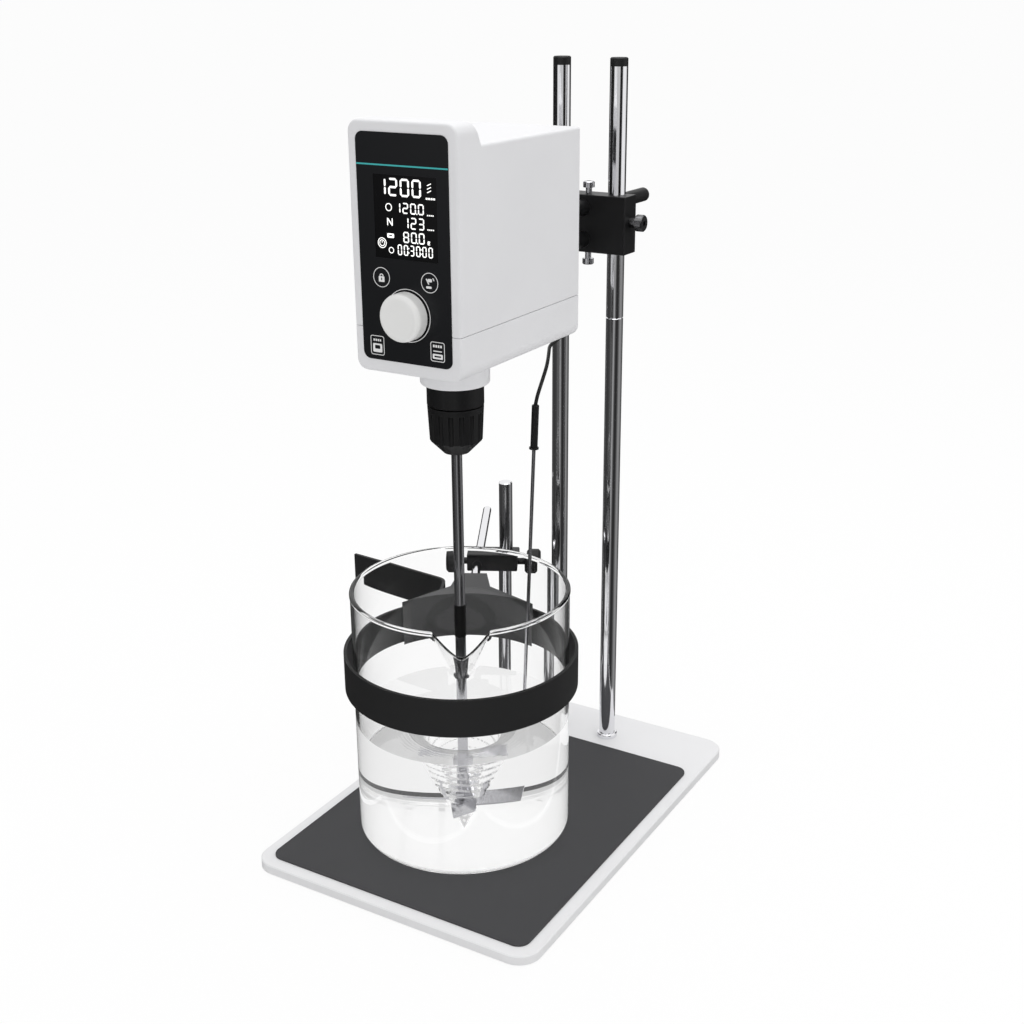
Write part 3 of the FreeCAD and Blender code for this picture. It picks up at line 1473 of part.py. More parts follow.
def jaw_direction(angle):
    """From the lower end of a jaw upwards and outwards."""
    tilt = math.radians(s.jaw_tilt.value)
    way = math.radians(angle)
    return Vector(
        math.sin(tilt) * math.cos(way), math.sin(tilt) * math.sin(way), math.cos(tilt)
    )


def jaw_rod(angle, radius, length):
    """A round rod along a jaw's slope, whose sizes are bound to the sheet."""
    rod = doc.addObject("Part::Cylinder", "Jaw")
    bind(rod, "Radius", radius)
    bind(rod, "Height", length)
    direction = jaw_direction(angle)
    rod.Placement = Placement(Vector(), Rotation(Vector(0, 0, 1), direction))
    way = math.radians(angle)
    place(
        rod,
        s.jaw_offset * math.cos(way),
        spindle_y + s.jaw_offset * math.sin(way),
        jaw_low(),
    )
    return rod


def chuck_jaws():
    for number, angle in enumerate(jaw_angles(), start=1):
        jaw = jaw_rod(angle, s.jaw_radius, s.jaw_length)
        grip = cylinder(
            s.shaft_radius + s.grip_gap, s.jaw_length * 2, (ZERO, spindle_y, nose_low)
        )
        floor = box(
            (-s.core_radius, s.core_radius),
            (spindle_y - s.core_radius, spindle_y + s.core_radius),
            (nose_low, jaw_low()),
        )
        named(cut(jaw, grip, floor), "chuck_jaw_%d" % number)


def chuck_body():
    collar = cylinder(s.collar_radius, s.collar_height, (ZERO, spindle_y, collar_low))
    rims = [collar_top.value, collar_low.value]
    collar = dressed(
        "Chamfer",
        collar,
        s.collar_edge,
        lambda edge: any(circle_at(Z_AXIS, z, s.collar_radius.value)(edge) for z in rims),
    )
    core = cylinder(s.core_radius, collar_low - nose_top, (ZERO, spindle_y, nose_top))
    core_low = nose_low + s.nose_wall + s.part_gap * 2
    core_nose = cone(
        s.core_nose_radius, s.core_radius, nose_top - core_low, (ZERO, spindle_y, core_low)
    )
    seat = cylinder(
        s.spindle_radius + s.thread_gap, s.chuck_seat, (ZERO, spindle_y, collar_top - s.chuck_seat)
    )
    bore = cylinder(
        s.chuck_bore, collar_top - s.chuck_seat - core_low, (ZERO, spindle_y, core_low)
    )
    slots = [
        jaw_rod(angle, s.jaw_radius + s.running_gap, s.jaw_length + s.jaw_travel_room)
        for angle in jaw_angles()
    ]
    return named(cut(fuse(collar, core, core_nose), seat, bore, *slots), "chuck_body")


def chuck_sleeve():
    """A hollow turned sleeve with a conical nose; grip flutes run down its outside."""
    inner = s.core_radius + s.running_gap
    floor = nose_low + s.nose_wall
    sleeve = turned(
        [
            (inner, sleeve_top),
            (s.sleeve_top_radius, sleeve_top),
            (s.sleeve_low_radius, nose_top),
            (s.nose_radius, nose_low),
            (s.nose_bore, nose_low),
            (s.nose_bore, floor),
            (s.core_nose_radius + s.part_gap, floor),
            (inner + s.part_gap, nose_top),
            (inner, nose_top + s.part_gap),
        ]
    )
    place(sleeve, ZERO, spindle_y, ZERO)
    flutes = []
    count = int(s.sleeve_flutes.value)
    for number in range(count):
        angle = math.radians(FULL_TURN * number / count)
        radius = s.sleeve_low_radius + s.flute_radius - s.flute_depth
        flutes.append(
            cylinder(
                s.flute_radius,
                sleeve_top - s.flute_drop - nose_low,
                (radius * math.cos(angle), spindle_y + radius * math.sin(angle), nose_low),
            )
        )
    return named(cut(sleeve, *flutes), "chuck_sleeve")


def stirring_shaft():
    top = nose_low + s.shaft_grip
    low = s.hub_low
    shaft = cylinder(s.shaft_radius, top - low, (ZERO, spindle_y, low))
    return named(shaft, "stirring_shaft")


def shaft_band():
    low = s.band_top - s.band_length
    band = cut(
        cylinder(s.band_radius, s.band_length, (ZERO, spindle_y, low)),
        cylinder(s.shaft_radius + s.thread_gap, s.band_length, (ZERO, spindle_y, low)),
    )
    return named(band, "shaft_band")


def impeller():
    """A hub with flat blades, each pitched about its own radial line."""
    pieces = [cylinder(s.hub_radius, s.hub_height, (ZERO, spindle_y, s.hub_low))]
    count = int(s.blade_count.value)
    for number in range(count):
        blade = doc.addObject("Part::Box", "Blade")
        bind(blade, "Length", s.blade_width)
        bind(blade, "Width", s.blade_reach)
        bind(blade, "Height", s.blade_thickness)
        turn = Rotation(Vector(0, 0, 1), HALF_TURN + s.blade_turn.value + FULL_TURN * number / count)
        pitched = turn.multiply(Rotation(Vector(0, 1, 0), s.blade_pitch.value))
        corner = pitched.multVec(Vector(-s.blade_width.value / 2, 0, -s.blade_thickness.value / 2))
        blade.Placement = Placement(corner, pitched)
        bind(blade, "Placement.Base.y", spindle_y + corner.y)
        bind(blade, "Placement.Base.z", s.hub_low + s.blade_rise + corner.z)
        pieces.append(blade)
    bore = cylinder(s.shaft_radius + s.thread_gap, s.hub_height, (ZERO, spindle_y, s.hub_low))
    return named(cut(fuse(*pieces), bore), "impeller")


def boss_head():
    """The boss head joins the clamp rod to the short post. Local frame: +Y along the rod."""
    left = -s.boss_head_left
    right = s.holder_side + s.boss_head_right
    near = s.holder_reach - s.boss_head_depth / 2
    low = s.rod_height - s.boss_head_below
    block = box((left, right), (near, near + s.boss_head_depth), (low, low + s.boss_head_height))
    block = dressed("Fillet", block, s.boss_head_edge, lambda edge: True)
    rod_hole = cylinder(
        s.rod_radius + s.running_gap, s.boss_head_depth, (ZERO, near, s.rod_height), "y"
    )
    post_hole = cylinder(
        s.short_post_radius + s.running_gap,
        s.boss_head_height,
        (s.holder_side, s.holder_reach, low),
    )
    thread = s.boss_screw_radius + s.thread_gap
    rod_thread = cylinder(thread, s.boss_head_left, (ZERO, s.holder_reach, s.rod_height), "-x")
    post_thread = cylinder(
        thread, s.boss_head_right, (s.holder_side, s.holder_reach, s.rod_height), "x"
    )
    return clamp_piece(cut(block, rod_hole, post_hole, rod_thread, post_thread), "boss_head")


def clamp_piece(solid, label):
    """Turns a piece of the strap clamp, built straight behind the origin, to its real place."""
    holder = doc.addObject("Part::Compound", "Clamp")
    holder.Links = [solid]
    holder.Placement = Placement(Vector(), Rotation(Vector(0, 0, 1), s.holder_turn.value))
    bind(holder, "Placement.Rotation.Angle", s.holder_turn)
    place(holder, vessel_x, vessel_y, ZERO)
    return named(holder, label)


def boss_knob(label, axis_x, radius, face, direction):
    """A hand screw: its tip is at the rod or post that it locks, its knob outside the boss head."""
    sign = -1 if direction == "-x" else 1
    tip = axis_x + (radius + s.running_gap) * sign
    knob_start = face + s.boss_screw_bare * sign
    length = (knob_start - tip) * sign
    shank = cylinder(s.boss_screw_radius, length, (tip, s.holder_reach, s.rod_height), direction)
    knob = cylinder(
        s.boss_knob_radius,
        s.boss_knob_length,
        (knob_start, s.holder_reach, s.rod_height),
        direction,
    )
    ends = [knob_start.value, (knob_start + s.boss_knob_length * sign).value]
    knob = dressed(
        "Chamfer",
        knob,
        s.boss_knob_edge,
        lambda edge: any(circle_at(X_AXIS, x, s.boss_knob_radius.value)(edge) for x in ends),
    )
    clamp_piece(fuse(shank, knob), label)


def boss_knobs():
    boss_knob("rod_lock_knob", ZERO, s.rod_radius, -s.boss_head_left, "-x")
    right_face = s.holder_side + s.boss_head_right
    boss_knob("holder_lock_knob", s.holder_side, s.short_post_radius, right_face, "x")


def clamp_rod():
    rod = cylinder(s.rod_radius, s.rod_length, (ZERO, s.rod_start, s.rod_height), "y")
    ends = [s.rod_start.value, (s.rod_start + s.rod_length).value]
    rod = dressed(
        "Chamfer",
        rod,
        s.rod_edge,
        lambda edge: any(circle_at(Y_AXIS, y, s.rod_radius.value)(edge) for y in ends),
    )
    clamp_piece(rod, "clamp_rod")


def strap_jaw():
    """A jaw with a curved face for the beaker, a tapered neck and a slot for each strap end."""
    inner = s.vessel_radius + s.jaw_gap
    tip_y = Length(
        math.sqrt(inner.value ** 2 - s.jaw_half_width.value ** 2),
        "sqrt(%s * %s - %s * %s)" % (inner.text, inner.text, s.jaw_half_width.text,
                                     s.jaw_half_width.text),
    )
    wings = prism_along_z(
        [
            (-s.jaw_half_width, tip_y),
            (-s.jaw_root_half, s.jaw_root),
            (s.jaw_root_half, s.jaw_root),
            (s.jaw_half_width, tip_y),
        ],
        s.jaw_height,
    )
    place(wings, ZERO, ZERO, s.jaw_bottom)
    hollow = cylinder(inner, s.jaw_height, (ZERO, ZERO, s.jaw_bottom))
    neck = prism_along_z(
        [
            (-s.jaw_root_half, s.jaw_root - s.part_gap),
            (-s.neck_end_half, s.neck_end),
            (s.neck_end_half, s.neck_end),
            (s.jaw_root_half, s.jaw_root - s.part_gap),
        ],
        s.jaw_height - s.neck_rise,
    )
    place(neck, ZERO, ZERO, s.jaw_bottom + s.neck_rise)
    strap_room = ring_solid(s.strap_slot_gap)
    rod_hole = cylinder(
        s.rod_radius + s.thread_gap,
        s.neck_end - s.rod_start,
        (ZERO, s.rod_start, s.rod_height),
        "y",
    )
    slot_half = s.strap_thickness / 2 + s.strap_slot_gap
    low = s.strap_bottom - s.strap_slot_gap
    tail_slot = box(
        (-s.tail_start_side - slot_half, -s.tail_start_side + slot_half),
        (s.tail_start_reach - s.strap_slot_gap, s.jaw_root),
        (low, low + s.strap_height + s.strap_slot_gap * 2),
    )
    jaw = cut(fuse(cut(wings, hollow), neck), strap_room, rod_hole, tail_slot)
    clamp_piece(jaw, "strap_jaw")


def ring_solid(gap):
    """The space of the strap, larger by a gap, open behind the beaker where the jaw holds it."""
    low = s.strap_bottom - gap
    height = s.strap_height + gap * 2
    ring = cut(
        cylinder(s.strap_radius + gap, height, (ZERO, ZERO, low)),
        cylinder(s.strap_radius - s.strap_thickness - gap, height, (ZERO, ZERO, low)),
    )
    half = s.strap_radius * sine(s.strap_open) - gap
    opening = box((-half, half), (ZERO, s.strap_radius * 2), (low, low + height))
    return cut(ring, opening)


def vessel_strap():
    clamp_piece(ring_solid(ZERO), "vessel_strap")


def strap_tail():
    """The strap's free end leaves a slot in the back of the jaw, bends and runs off to the left."""
    points = [
        Vector(-side.value, reach.value, 0)
        for side, reach in (
            (s.tail_start_side, s.tail_start_reach),
            (s.tail_corner_side, s.tail_corner_reach),
            (s.tail_end_side, s.tail_end_reach),
        )
    ]
    route = rounded_route(points, s.tail_bend_radius.value)
    along = (points[1] - points[0]).normalize()
    across = Vector(-along.y, along.x, 0) * (s.strap_thickness.value / 2)
    up = Vector(0, 0, s.strap_height.value)
    corners = [points[0] - across, points[0] + across, points[0] + across + up, points[0] - across + up]
    section = Part.makePolygon(corners + corners[:1])
    tail = doc.addObject("Part::Feature", "Tail")
    tail.Shape = route.makePipeShell([section], True, False)
    place(tail, ZERO, ZERO, s.strap_bottom)
    clamp_piece(tail, "strap_tail")


def pouring_lip():
    """A pointed solid with four corners, on the -Y side of the beaker's axis: two on the rim, the
    tip, and the foot of the lip on the wall."""
    half = s.spout_width.value / 2
    rim_height = (vessel_top - s.vessel_rim).value
    rim_y = -math.sqrt(s.vessel_radius.value ** 2 - half ** 2)
    left = Vector(-half, rim_y, rim_height)
    right = Vector(half, rim_y, rim_height)
    tip = Vector(0, -(s.vessel_radius + s.spout_reach).value, (vessel_top - s.spout_dip).value)
    foot = Vector(0, -s.vessel_radius.value, (vessel_top - s.spout_depth).value)
    faces = [
        Part.Face(Part.makePolygon([a, b, c, a]))
        for a, b, c in (
            (left, tip, right), (left, foot, tip), (right, tip, foot), (left, right, foot)
        )
    ]
    lip = doc.addObject("Part::Feature", "Lip")
    lip.Shape = Part.makeSolid(Part.makeShell(faces))
    return lip


def beaker():
    """A turned glass with a rounded foot and a rolled rim, and a V-shaped pouring lip."""
    corner_steps = 6
    outside = []
    inside = []
    inner_corner = s.vessel_corner - s.vessel_wall
    for step in range(corner_steps + 1):
        angle = math.radians(90 * step / corner_steps)
        across = math.sin(angle)
        lift = 1 - math.cos(angle)
        outside.append(
            (
                s.vessel_radius - s.vessel_corner + s.vessel_corner * across,
                vessel_low + s.vessel_corner * lift,
            )
        )
        inside.append(
            (
                s.vessel_radius - s.vessel_wall - inner_corner + inner_corner * across,
                vessel_low + s.vessel_floor + inner_corner * lift,
            )
        )
    outer = [(ZERO, vessel_low)] + outside
    outer += [(s.vessel_radius, vessel_top), (ZERO, vessel_top)]
    inner = [(ZERO, vessel_low + s.vessel_floor)] + inside
    inner += [(s.vessel_radius - s.vessel_wall, vessel_top), (ZERO, vessel_top)]
    rim = doc.addObject("Part::Torus", "Rim")
    bind(rim, "Radius1", s.vessel_radius - s.vessel_wall / 2)
    bind(rim, "Radius2", s.vessel_rim)
    place(rim, ZERO, ZERO, vessel_top - s.vessel_rim)
    lip = pouring_lip()
    channel = pouring_lip()
    place(channel, ZERO, s.spout_wall, s.spout_wall)
    glass = cut(fuse(turned(outer), rim, lip), turned(inner), channel)
    holder = doc.addObject("Part::Compound", "Glass")
    holder.Links = [glass]
    holder.Placement = Placement(Vector(), Rotation(Vector(0, 0, 1), s.spout_turn.value))
    bind(holder, "Placement.Rotation.Angle", s.spout_turn)
    place(holder, vessel_x, vessel_y, ZERO)
    return named(holder, "beaker")


def build_all():
    for make in (
        base_plate, bench_mat, base_underlay, base_screws, lower_posts, upper_posts, post_caps,
        post_foot_nuts, short_post, clamp_block, arm_screws, post_lock_knob, side_thumb_screw,
        support_arms, arm_bracket, housings, housing_screws, front_fascia, display_module,
        control_board, encoder_parts, control_knob, spindle_boss, spindle_bearings, spindle, gears,
        gear_plate, plate_standoffs, motor_parts, power_board, board_spacers, inlet_module,
        power_rocker, probe_socket, probe_plug, probe_cable, probe_pieces, chuck_jaws, chuck_body,
        chuck_sleeve, stirring_shaft, shaft_band, impeller, boss_head, boss_knobs, clamp_rod,
        strap_jaw, vessel_strap, strap_tail, beaker,
    ):
        make()
    doc.recompute()


def check_all():
    failed = [thing.Name for thing in doc.Objects if "Invalid" in thing.State or "Error" in thing.State]
    for node in nodes:
        if node.Shape.isNull() or not node.Shape.isValid() or node.Shape.Volume <= 0:
            failed.append(node.Label)
    if failed:
        raise ValueError("failed: " + ", ".join(failed))


def export_all():
    os.makedirs("parts", exist_ok=True)
    for node in nodes:
        node.Shape.exportStep("parts/%s.step" % node.Label)
    print(len(nodes), "sub-parts")


build_all()
check_all()
export_all()
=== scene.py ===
"""Dresses the overhead stirrer: finishes, beaker, liquid, probe lead, display and panel marks."""
import json
import math

import bmesh
import bpy
from mathutils import Matrix, Vector


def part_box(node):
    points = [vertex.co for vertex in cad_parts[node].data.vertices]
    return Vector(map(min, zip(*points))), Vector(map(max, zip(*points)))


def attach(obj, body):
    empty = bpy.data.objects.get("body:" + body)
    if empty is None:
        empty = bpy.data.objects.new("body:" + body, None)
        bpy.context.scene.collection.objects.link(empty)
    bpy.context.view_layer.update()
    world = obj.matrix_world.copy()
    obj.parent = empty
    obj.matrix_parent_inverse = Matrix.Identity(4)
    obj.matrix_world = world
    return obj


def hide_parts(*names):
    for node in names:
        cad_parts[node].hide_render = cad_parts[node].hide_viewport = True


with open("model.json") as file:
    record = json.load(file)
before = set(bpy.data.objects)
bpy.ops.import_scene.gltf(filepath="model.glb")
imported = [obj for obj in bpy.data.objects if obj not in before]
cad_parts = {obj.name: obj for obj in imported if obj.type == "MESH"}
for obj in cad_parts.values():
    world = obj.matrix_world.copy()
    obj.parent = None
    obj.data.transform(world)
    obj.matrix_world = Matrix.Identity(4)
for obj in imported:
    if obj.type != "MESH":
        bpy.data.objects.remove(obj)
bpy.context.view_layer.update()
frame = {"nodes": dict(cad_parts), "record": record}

bl_info = {
    "name": "Overhead stirrer dressing",
    "version": (1, 0, 0),
    "blender": (4, 5, 0),
    "location": "View3D > Sidebar > Stirrer",
    "description": "Finishes, glassware, liquid, lead and display of the overhead stirrer",
    "category": "Object",
}

MM = 0.001

# Places read from the frame
FASCIA_LOW, FASCIA_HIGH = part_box("front_fascia")
DISPLAY_LOW, DISPLAY_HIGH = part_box("display_module")
KNOB_LOW, KNOB_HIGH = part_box("control_knob")
GLASS_LOW, GLASS_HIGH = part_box("beaker")
SHAFT_LOW, SHAFT_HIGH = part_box("stirring_shaft")
VESSEL_AXIS = (GLASS_LOW + GLASS_HIGH) / 2
SHAFT_AXIS = (SHAFT_LOW + SHAFT_HIGH) / 2
KNOB_AXIS = (KNOB_LOW + KNOB_HIGH) / 2
FASCIA_Y = FASCIA_LOW.y
DISPLAY_Y = DISPLAY_LOW.y


def length(name, description, millimetres):
    """A length in the settings, given in millimetres."""
    return bpy.props.FloatProperty(
        name=name, description=description, unit="LENGTH", default=millimetres * MM)


def angle(name, description, degrees):
    """An angle in the settings, given in degrees."""
    return bpy.props.FloatProperty(
        name=name, description=description, subtype="ANGLE", default=math.radians(degrees))


def share(name, description, part):
    """A share of one in the settings."""
    return bpy.props.FloatProperty(name=name, description=description, subtype="FACTOR", default=part)


class StageSettings(bpy.types.PropertyGroup):
    """Camera, lamps and floor."""
    camera_place: bpy.props.FloatVectorProperty(
        name="Camera place", description="Where the camera stands", subtype="TRANSLATION", unit="LENGTH",
        default=(0.53962, -0.88404, 0.64978))
    camera_turn: angle("Camera turn", "Azimuth of the view, from straight back", 30.494)
    camera_dip: angle("Camera dip", "How far the view looks down", 20.346)
    camera_roll: angle("Camera roll", "Turn of the picture about the view", -0.238)
    focal_length: bpy.props.FloatProperty(
        name="Focal length", description="Lens in millimetres on a 36 mm sensor", default=50.02)
    shift: bpy.props.FloatVectorProperty(
        name="Lens shift", description="Shift of the picture as a share of its width", size=2,
        default=(-0.01122, -0.0024))
    floor_size: bpy.props.FloatProperty(
        name="Floor size", description="Side of the floor", unit="LENGTH", default=400.0)
    floor_tone: bpy.props.FloatVectorProperty(
        name="Floor tone", description="Colour of the floor", subtype="COLOR", size=3,
        default=(0.9, 0.9, 0.9))
    floor_glow: share("Floor glow", "Share of plain white in what the camera sees of the floor", 0.9)
    sky_level: bpy.props.FloatProperty(
        name="Sky level", description="Strength of the even light from all round", default=0.8)
    key_power: bpy.props.FloatProperty(
        name="Key power", description="Power of the soft lamp above", subtype="POWER", default=16.0)
    fill_power: bpy.props.FloatProperty(
        name="Fill power", description="Power of the soft lamp on the right", subtype="POWER",
        default=1.2)


class GlasswareSettings(bpy.types.PropertyGroup):
    """Sizes of the beaker and of the liquid in it."""
    wall: length("Wall", "Thickness of the glass", 2.6)
    floor: length("Floor", "Thickness of the beaker's bottom", 3.2)
    corner: length("Corner", "Rounding of the bottom edge", 6)
    bead: length("Bead", "Radius of the rolled rim", 1.9)
    lip_turn: angle("Lip turn", "Direction of the pouring lip, from straight ahead to the right", 33.3)
    lip_half: angle("Lip half angle", "Half the angle that the pouring lip takes of the rim", 14.9)
    lip_narrow: share("Lip narrowing", "Width of the pouring lip's foot as a share of its mouth", 0.24)
    lip_reach: length("Lip reach", "Pouring lip past the wall", 14)
    lip_dip: length("Lip dip", "Tip of the pouring lip below the rim", 13)
    lip_depth: length("Lip depth", "Foot of the pouring lip below the rim", 36)
    level: length("Level", "Height of the liquid above the bench at the wall", 107)
    vortex_low: length("Vortex foot", "Lowest point of the vortex above the bench", 29)
    vortex_spread: length("Vortex spread", "Radius of the vortex at its mouth", 31)
    # The ring round the vortex is dark grey emission: painted shade.
    painted_shade_ring: length("Painted shade ring", "Outer radius of the shaded ring round the vortex", 42)
    # The liquid's wall and foot emit white seen from within: painted light.
    wall_painted_light: share("Wall painted light", "Share of white in the liquid's wall, seen from within", 0.9)
    foot_painted_light: share("Foot painted light", "Share of white in the liquid's foot, seen from within", 0.6)
    ripple: length("Ripple", "Height of the ripples on the vortex", 1.7)
    ripple_pitch: length("Ripple pitch", "Distance from one ripple to the next", 2.7)


class DisplaySettings(bpy.types.PropertyGroup):
    """Figures and marks on the front panel."""
    mark_depth: length("Mark depth", "Thickness of figures and marks", 0.12)
    line_drop: length("Line drop", "Coloured line below the top of the panel", 20.6)
    line_width: length("Line width", "Width of the coloured line", 1.0)


class LeadSettings(bpy.types.PropertyGroup):
    """Sizes of the probe lead."""
    diameter: length("Diameter", "Diameter of the probe lead", 2.8)
    length: length("Length", "Length of the probe lead", 125.5)


# Ways to start, shape and finish a piece

def clear_selection():
    """Nothing is selected or active, in object mode."""
    if bpy.context.object and bpy.context.object.mode != "OBJECT":
        bpy.ops.object.mode_set(mode="OBJECT")
    bpy.ops.object.select_all(action="DESELECT")


def placed(name, data):
    """A new object in the scene."""
    made = bpy.data.objects.new(name, data)
    bpy.context.scene.collection.objects.link(made)
    return made


def take(piece):
    """The piece alone is selected and active."""
    clear_selection()
    piece.select_set(True)
    bpy.context.view_layer.objects.active = piece
    return piece


def settle(piece):
    """The piece's place goes into its mesh, and its object goes to the origin."""
    take(piece)
    bpy.ops.object.transform_apply(location=True, rotation=True, scale=True)
    return piece


def finish_piece(piece, name, material, body):
    """Names, paints and seats a piece on its body."""
    piece.name = name
    piece.data.name = name
    piece.data.materials.clear()
    piece.data.materials.append(material)
    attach(piece, body)
    return piece


def smooth(piece, angle=math.radians(35)):
    take(piece)
    bpy.ops.object.shade_smooth_by_angle(angle=angle)
    return piece


def clean_mesh(piece, distance=1e-6):
    """Doubles are merged and the faces are turned outwards."""
    take(piece)
    bpy.ops.object.mode_set(mode="EDIT")
    bpy.ops.mesh.select_all(action="SELECT")
    bpy.ops.mesh.remove_doubles(threshold=distance)
    bpy.ops.mesh.normals_make_consistent(inside=False)
    bpy.ops.object.mode_set(mode="OBJECT")
    return piece


PLAIN_WHITE = (1.0, 1.0, 1.0)
GLASS_IOR = 1.47
GLASS_MIRROR = 0.4
LIQUID_IOR = 1.45
SHADE_SPREAD = 0.07


# Node groups that several finishes share

def new_group(name, inputs, outputs):
    """A shader node group with (kind, name, default) inputs and (kind, name) outputs."""
    group = bpy.data.node_groups.new(name, "ShaderNodeTree")
    for kind, label, default in inputs:
        socket = group.interface.new_socket(label, in_out="INPUT", socket_type="NodeSocket" + kind)
        if default is not None:
            socket.default_value = default
    for kind, label in outputs:
        group.interface.new_socket(label, in_out="OUTPUT", socket_type="NodeSocket" + kind)
    return group, group.nodes.new("NodeGroupInput"), group.nodes.new("NodeGroupOutput")


def link(output, socket):
    """Joins an output to an input of the same tree."""
    output.id_data.links.new(output, socket)


def node(tree, kind, **values):
    """A shader node of a kind, with its properties, and with input values by name."""
    made = tree.nodes.new("ShaderNode" + kind)
    for name, value in values.items():
        if hasattr(made, name):
            setattr(made, name, value)
        else:
            made.inputs[name.replace("_", " ")].default_value = value
    return made


def sum_up(tree, operation, *values, use_clamp=False):
    """The result of a maths node on sockets and numbers."""
    made = node(tree, "Math", operation=operation, use_clamp=use_clamp)
    for number, value in enumerate(values):
        if isinstance(value, (int, float)):
            made.inputs[number].default_value = value
        else:
            link(value, made.inputs[number])
    return made.outputs[0]


def grain_group():
    """Fine moulded or cast grain: a bump normal, a roughness and a faint shade of the colour."""
    group, given, result = new_group(
        "surface_grain",
        [
            ("Vector", "Vector", None),
            ("Color", "Colour", (0.5, 0.5, 0.5, 1)),
            ("Float", "Grain Scale", 900.0),
            ("Float", "Grain Height", 0.1),
            ("Float", "Roughness", 0.5),
            ("Float", "Spread", 0.06),
        ],
        [
            ("Color", "Colour"),
            ("Float", "Roughness"),
            ("Vector", "Normal"),
        ],
    )
    fine = node(group, "TexNoise", Detail=3.0, Roughness=0.6)
    link(given.outputs["Vector"], fine.inputs["Vector"])
    link(given.outputs["Grain Scale"], fine.inputs["Scale"])
    bump = node(group, "Bump", Distance=0.00012)
    link(given.outputs["Grain Height"], bump.inputs["Strength"])
    link(fine.outputs["Fac"], bump.inputs["Height"])
    broad = node(group, "TexNoise", Scale=14.0, Detail=4.0, Roughness=0.55)
    link(given.outputs["Vector"], broad.inputs["Vector"])
    centred = sum_up(group, "SUBTRACT", broad.outputs["Fac"], 0.5)
    spread = sum_up(
        group, "MULTIPLY_ADD", centred, given.outputs["Spread"], given.outputs["Roughness"]
    )
    shade = sum_up(group, "MULTIPLY_ADD", centred, SHADE_SPREAD, 1.0)
    tint = node(group, "VectorMath", operation="SCALE")
    link(given.outputs["Colour"], tint.inputs[0])
    link(shade, tint.inputs["Scale"])
    link(tint.outputs["Vector"], result.inputs["Colour"])
    link(spread, result.inputs["Roughness"])
    link(bump.outputs["Normal"], result.inputs["Normal"])
    return group


def streak_group():
    """Brushed or drawn metal: long fine streaks along the direction that the stretch leaves small."""
    group, given, result = new_group(
        "drawn_streaks",
        [
            ("Vector", "Vector", None),
            ("Vector", "Stretch", (900.0, 900.0, 12.0)),
            ("Float", "Streak Height", 0.1),
            ("Float", "Roughness", 0.25),
            ("Float", "Spread", 0.12),
        ],
        [("Float", "Roughness"), ("Vector", "Normal")],
    )
    stretched = node(group, "VectorMath", operation="MULTIPLY")
    link(given.outputs["Vector"], stretched.inputs[0])
    link(given.outputs["Stretch"], stretched.inputs[1])
    streaks = node(group, "TexNoise", Scale=1.0, Detail=2.0)
    link(stretched.outputs["Vector"], streaks.inputs["Vector"])
    bump = node(group, "Bump", Distance=0.00008)
    link(given.outputs["Streak Height"], bump.inputs["Strength"])
    link(streaks.outputs["Fac"], bump.inputs["Height"])
    centred = sum_up(group, "SUBTRACT", streaks.outputs["Fac"], 0.5)
    rough = sum_up(
        group, "MULTIPLY_ADD", centred, given.outputs["Spread"], given.outputs["Roughness"]
    )
    link(rough, result.inputs["Roughness"])
    link(bump.outputs["Normal"], result.inputs["Normal"])
    return group


def edge_wear_and_highlight_group():
    """The colour lightened on convex edges, broken up by noise: partly wear, partly a painted highlight
    along the edges.
    """
    group, given, result = new_group(
        "edge_wear_and_highlight",
        [
            ("Vector", "Vector", None),
            ("Color", "Colour", (0.1, 0.1, 0.1, 1)),
            ("Color", "Worn Colour", (0.3, 0.3, 0.3, 1)),
            ("Float", "Amount", 0.5),
        ],
        [("Color", "Colour")],
    )
    # Convex edges get the lighter colour: partly wear, partly a painted highlight along the edges.
    edge = node(group, "AmbientOcclusion", samples=6, inside=True, Distance=0.0009)
    turned = sum_up(group, "SUBTRACT", 1.0, edge.outputs["AO"])
    patches = node(group, "TexNoise", Scale=160.0, Detail=3.0)
    link(given.outputs["Vector"], patches.inputs["Vector"])
    broken = sum_up(group, "MULTIPLY", turned, patches.outputs["Fac"])
    amount = sum_up(group, "MULTIPLY", broken, given.outputs["Amount"], use_clamp=True)
    mix = node(group, "Mix", data_type="RGBA")
    link(amount, mix.inputs["Factor"])
    link(given.outputs["Colour"], mix.inputs[6])
    link(given.outputs["Worn Colour"], mix.inputs[7])
    link(mix.outputs[2], result.inputs["Colour"])
    return group


GROUPS = {}


def shared_group(name):
    if name not in GROUPS:
        makers = {"surface_grain": grain_group, "drawn_streaks": streak_group, "edge_wear_and_highlight": edge_wear_and_highlight_group}
        GROUPS[name] = makers[name]()
    return GROUPS[name]


def new_material(name):
    """An empty material with a Principled shader: (material, tree, shader, object coordinates)."""
    material = bpy.data.materials.new(name)
    material.use_nodes = True
    tree = material.node_tree
    shader = tree.nodes["Principled BSDF"]
    place = node(tree, "TexCoord").outputs["Object"]
    return material, tree, shader, place


def use_group(tree, name, place, **values):
    used = node(tree, "Group")
    used.node_tree = shared_group(name)
    link(place, used.inputs["Vector"])
    for label, value in values.items():
        used.inputs[label.replace("_", " ")].default_value = value
    return used


def solid(colour):
    return (colour[0], colour[1], colour[2], 1.0)


def mix_shaders(tree, share, first, second):
    """The first shader with a share of the second."""
    mix = node(tree, "MixShader")
    link(share, mix.inputs["Fac"])
    link(first, mix.inputs[1])
    link(second, mix.inputs[2])
    return mix.outputs["Shader"]


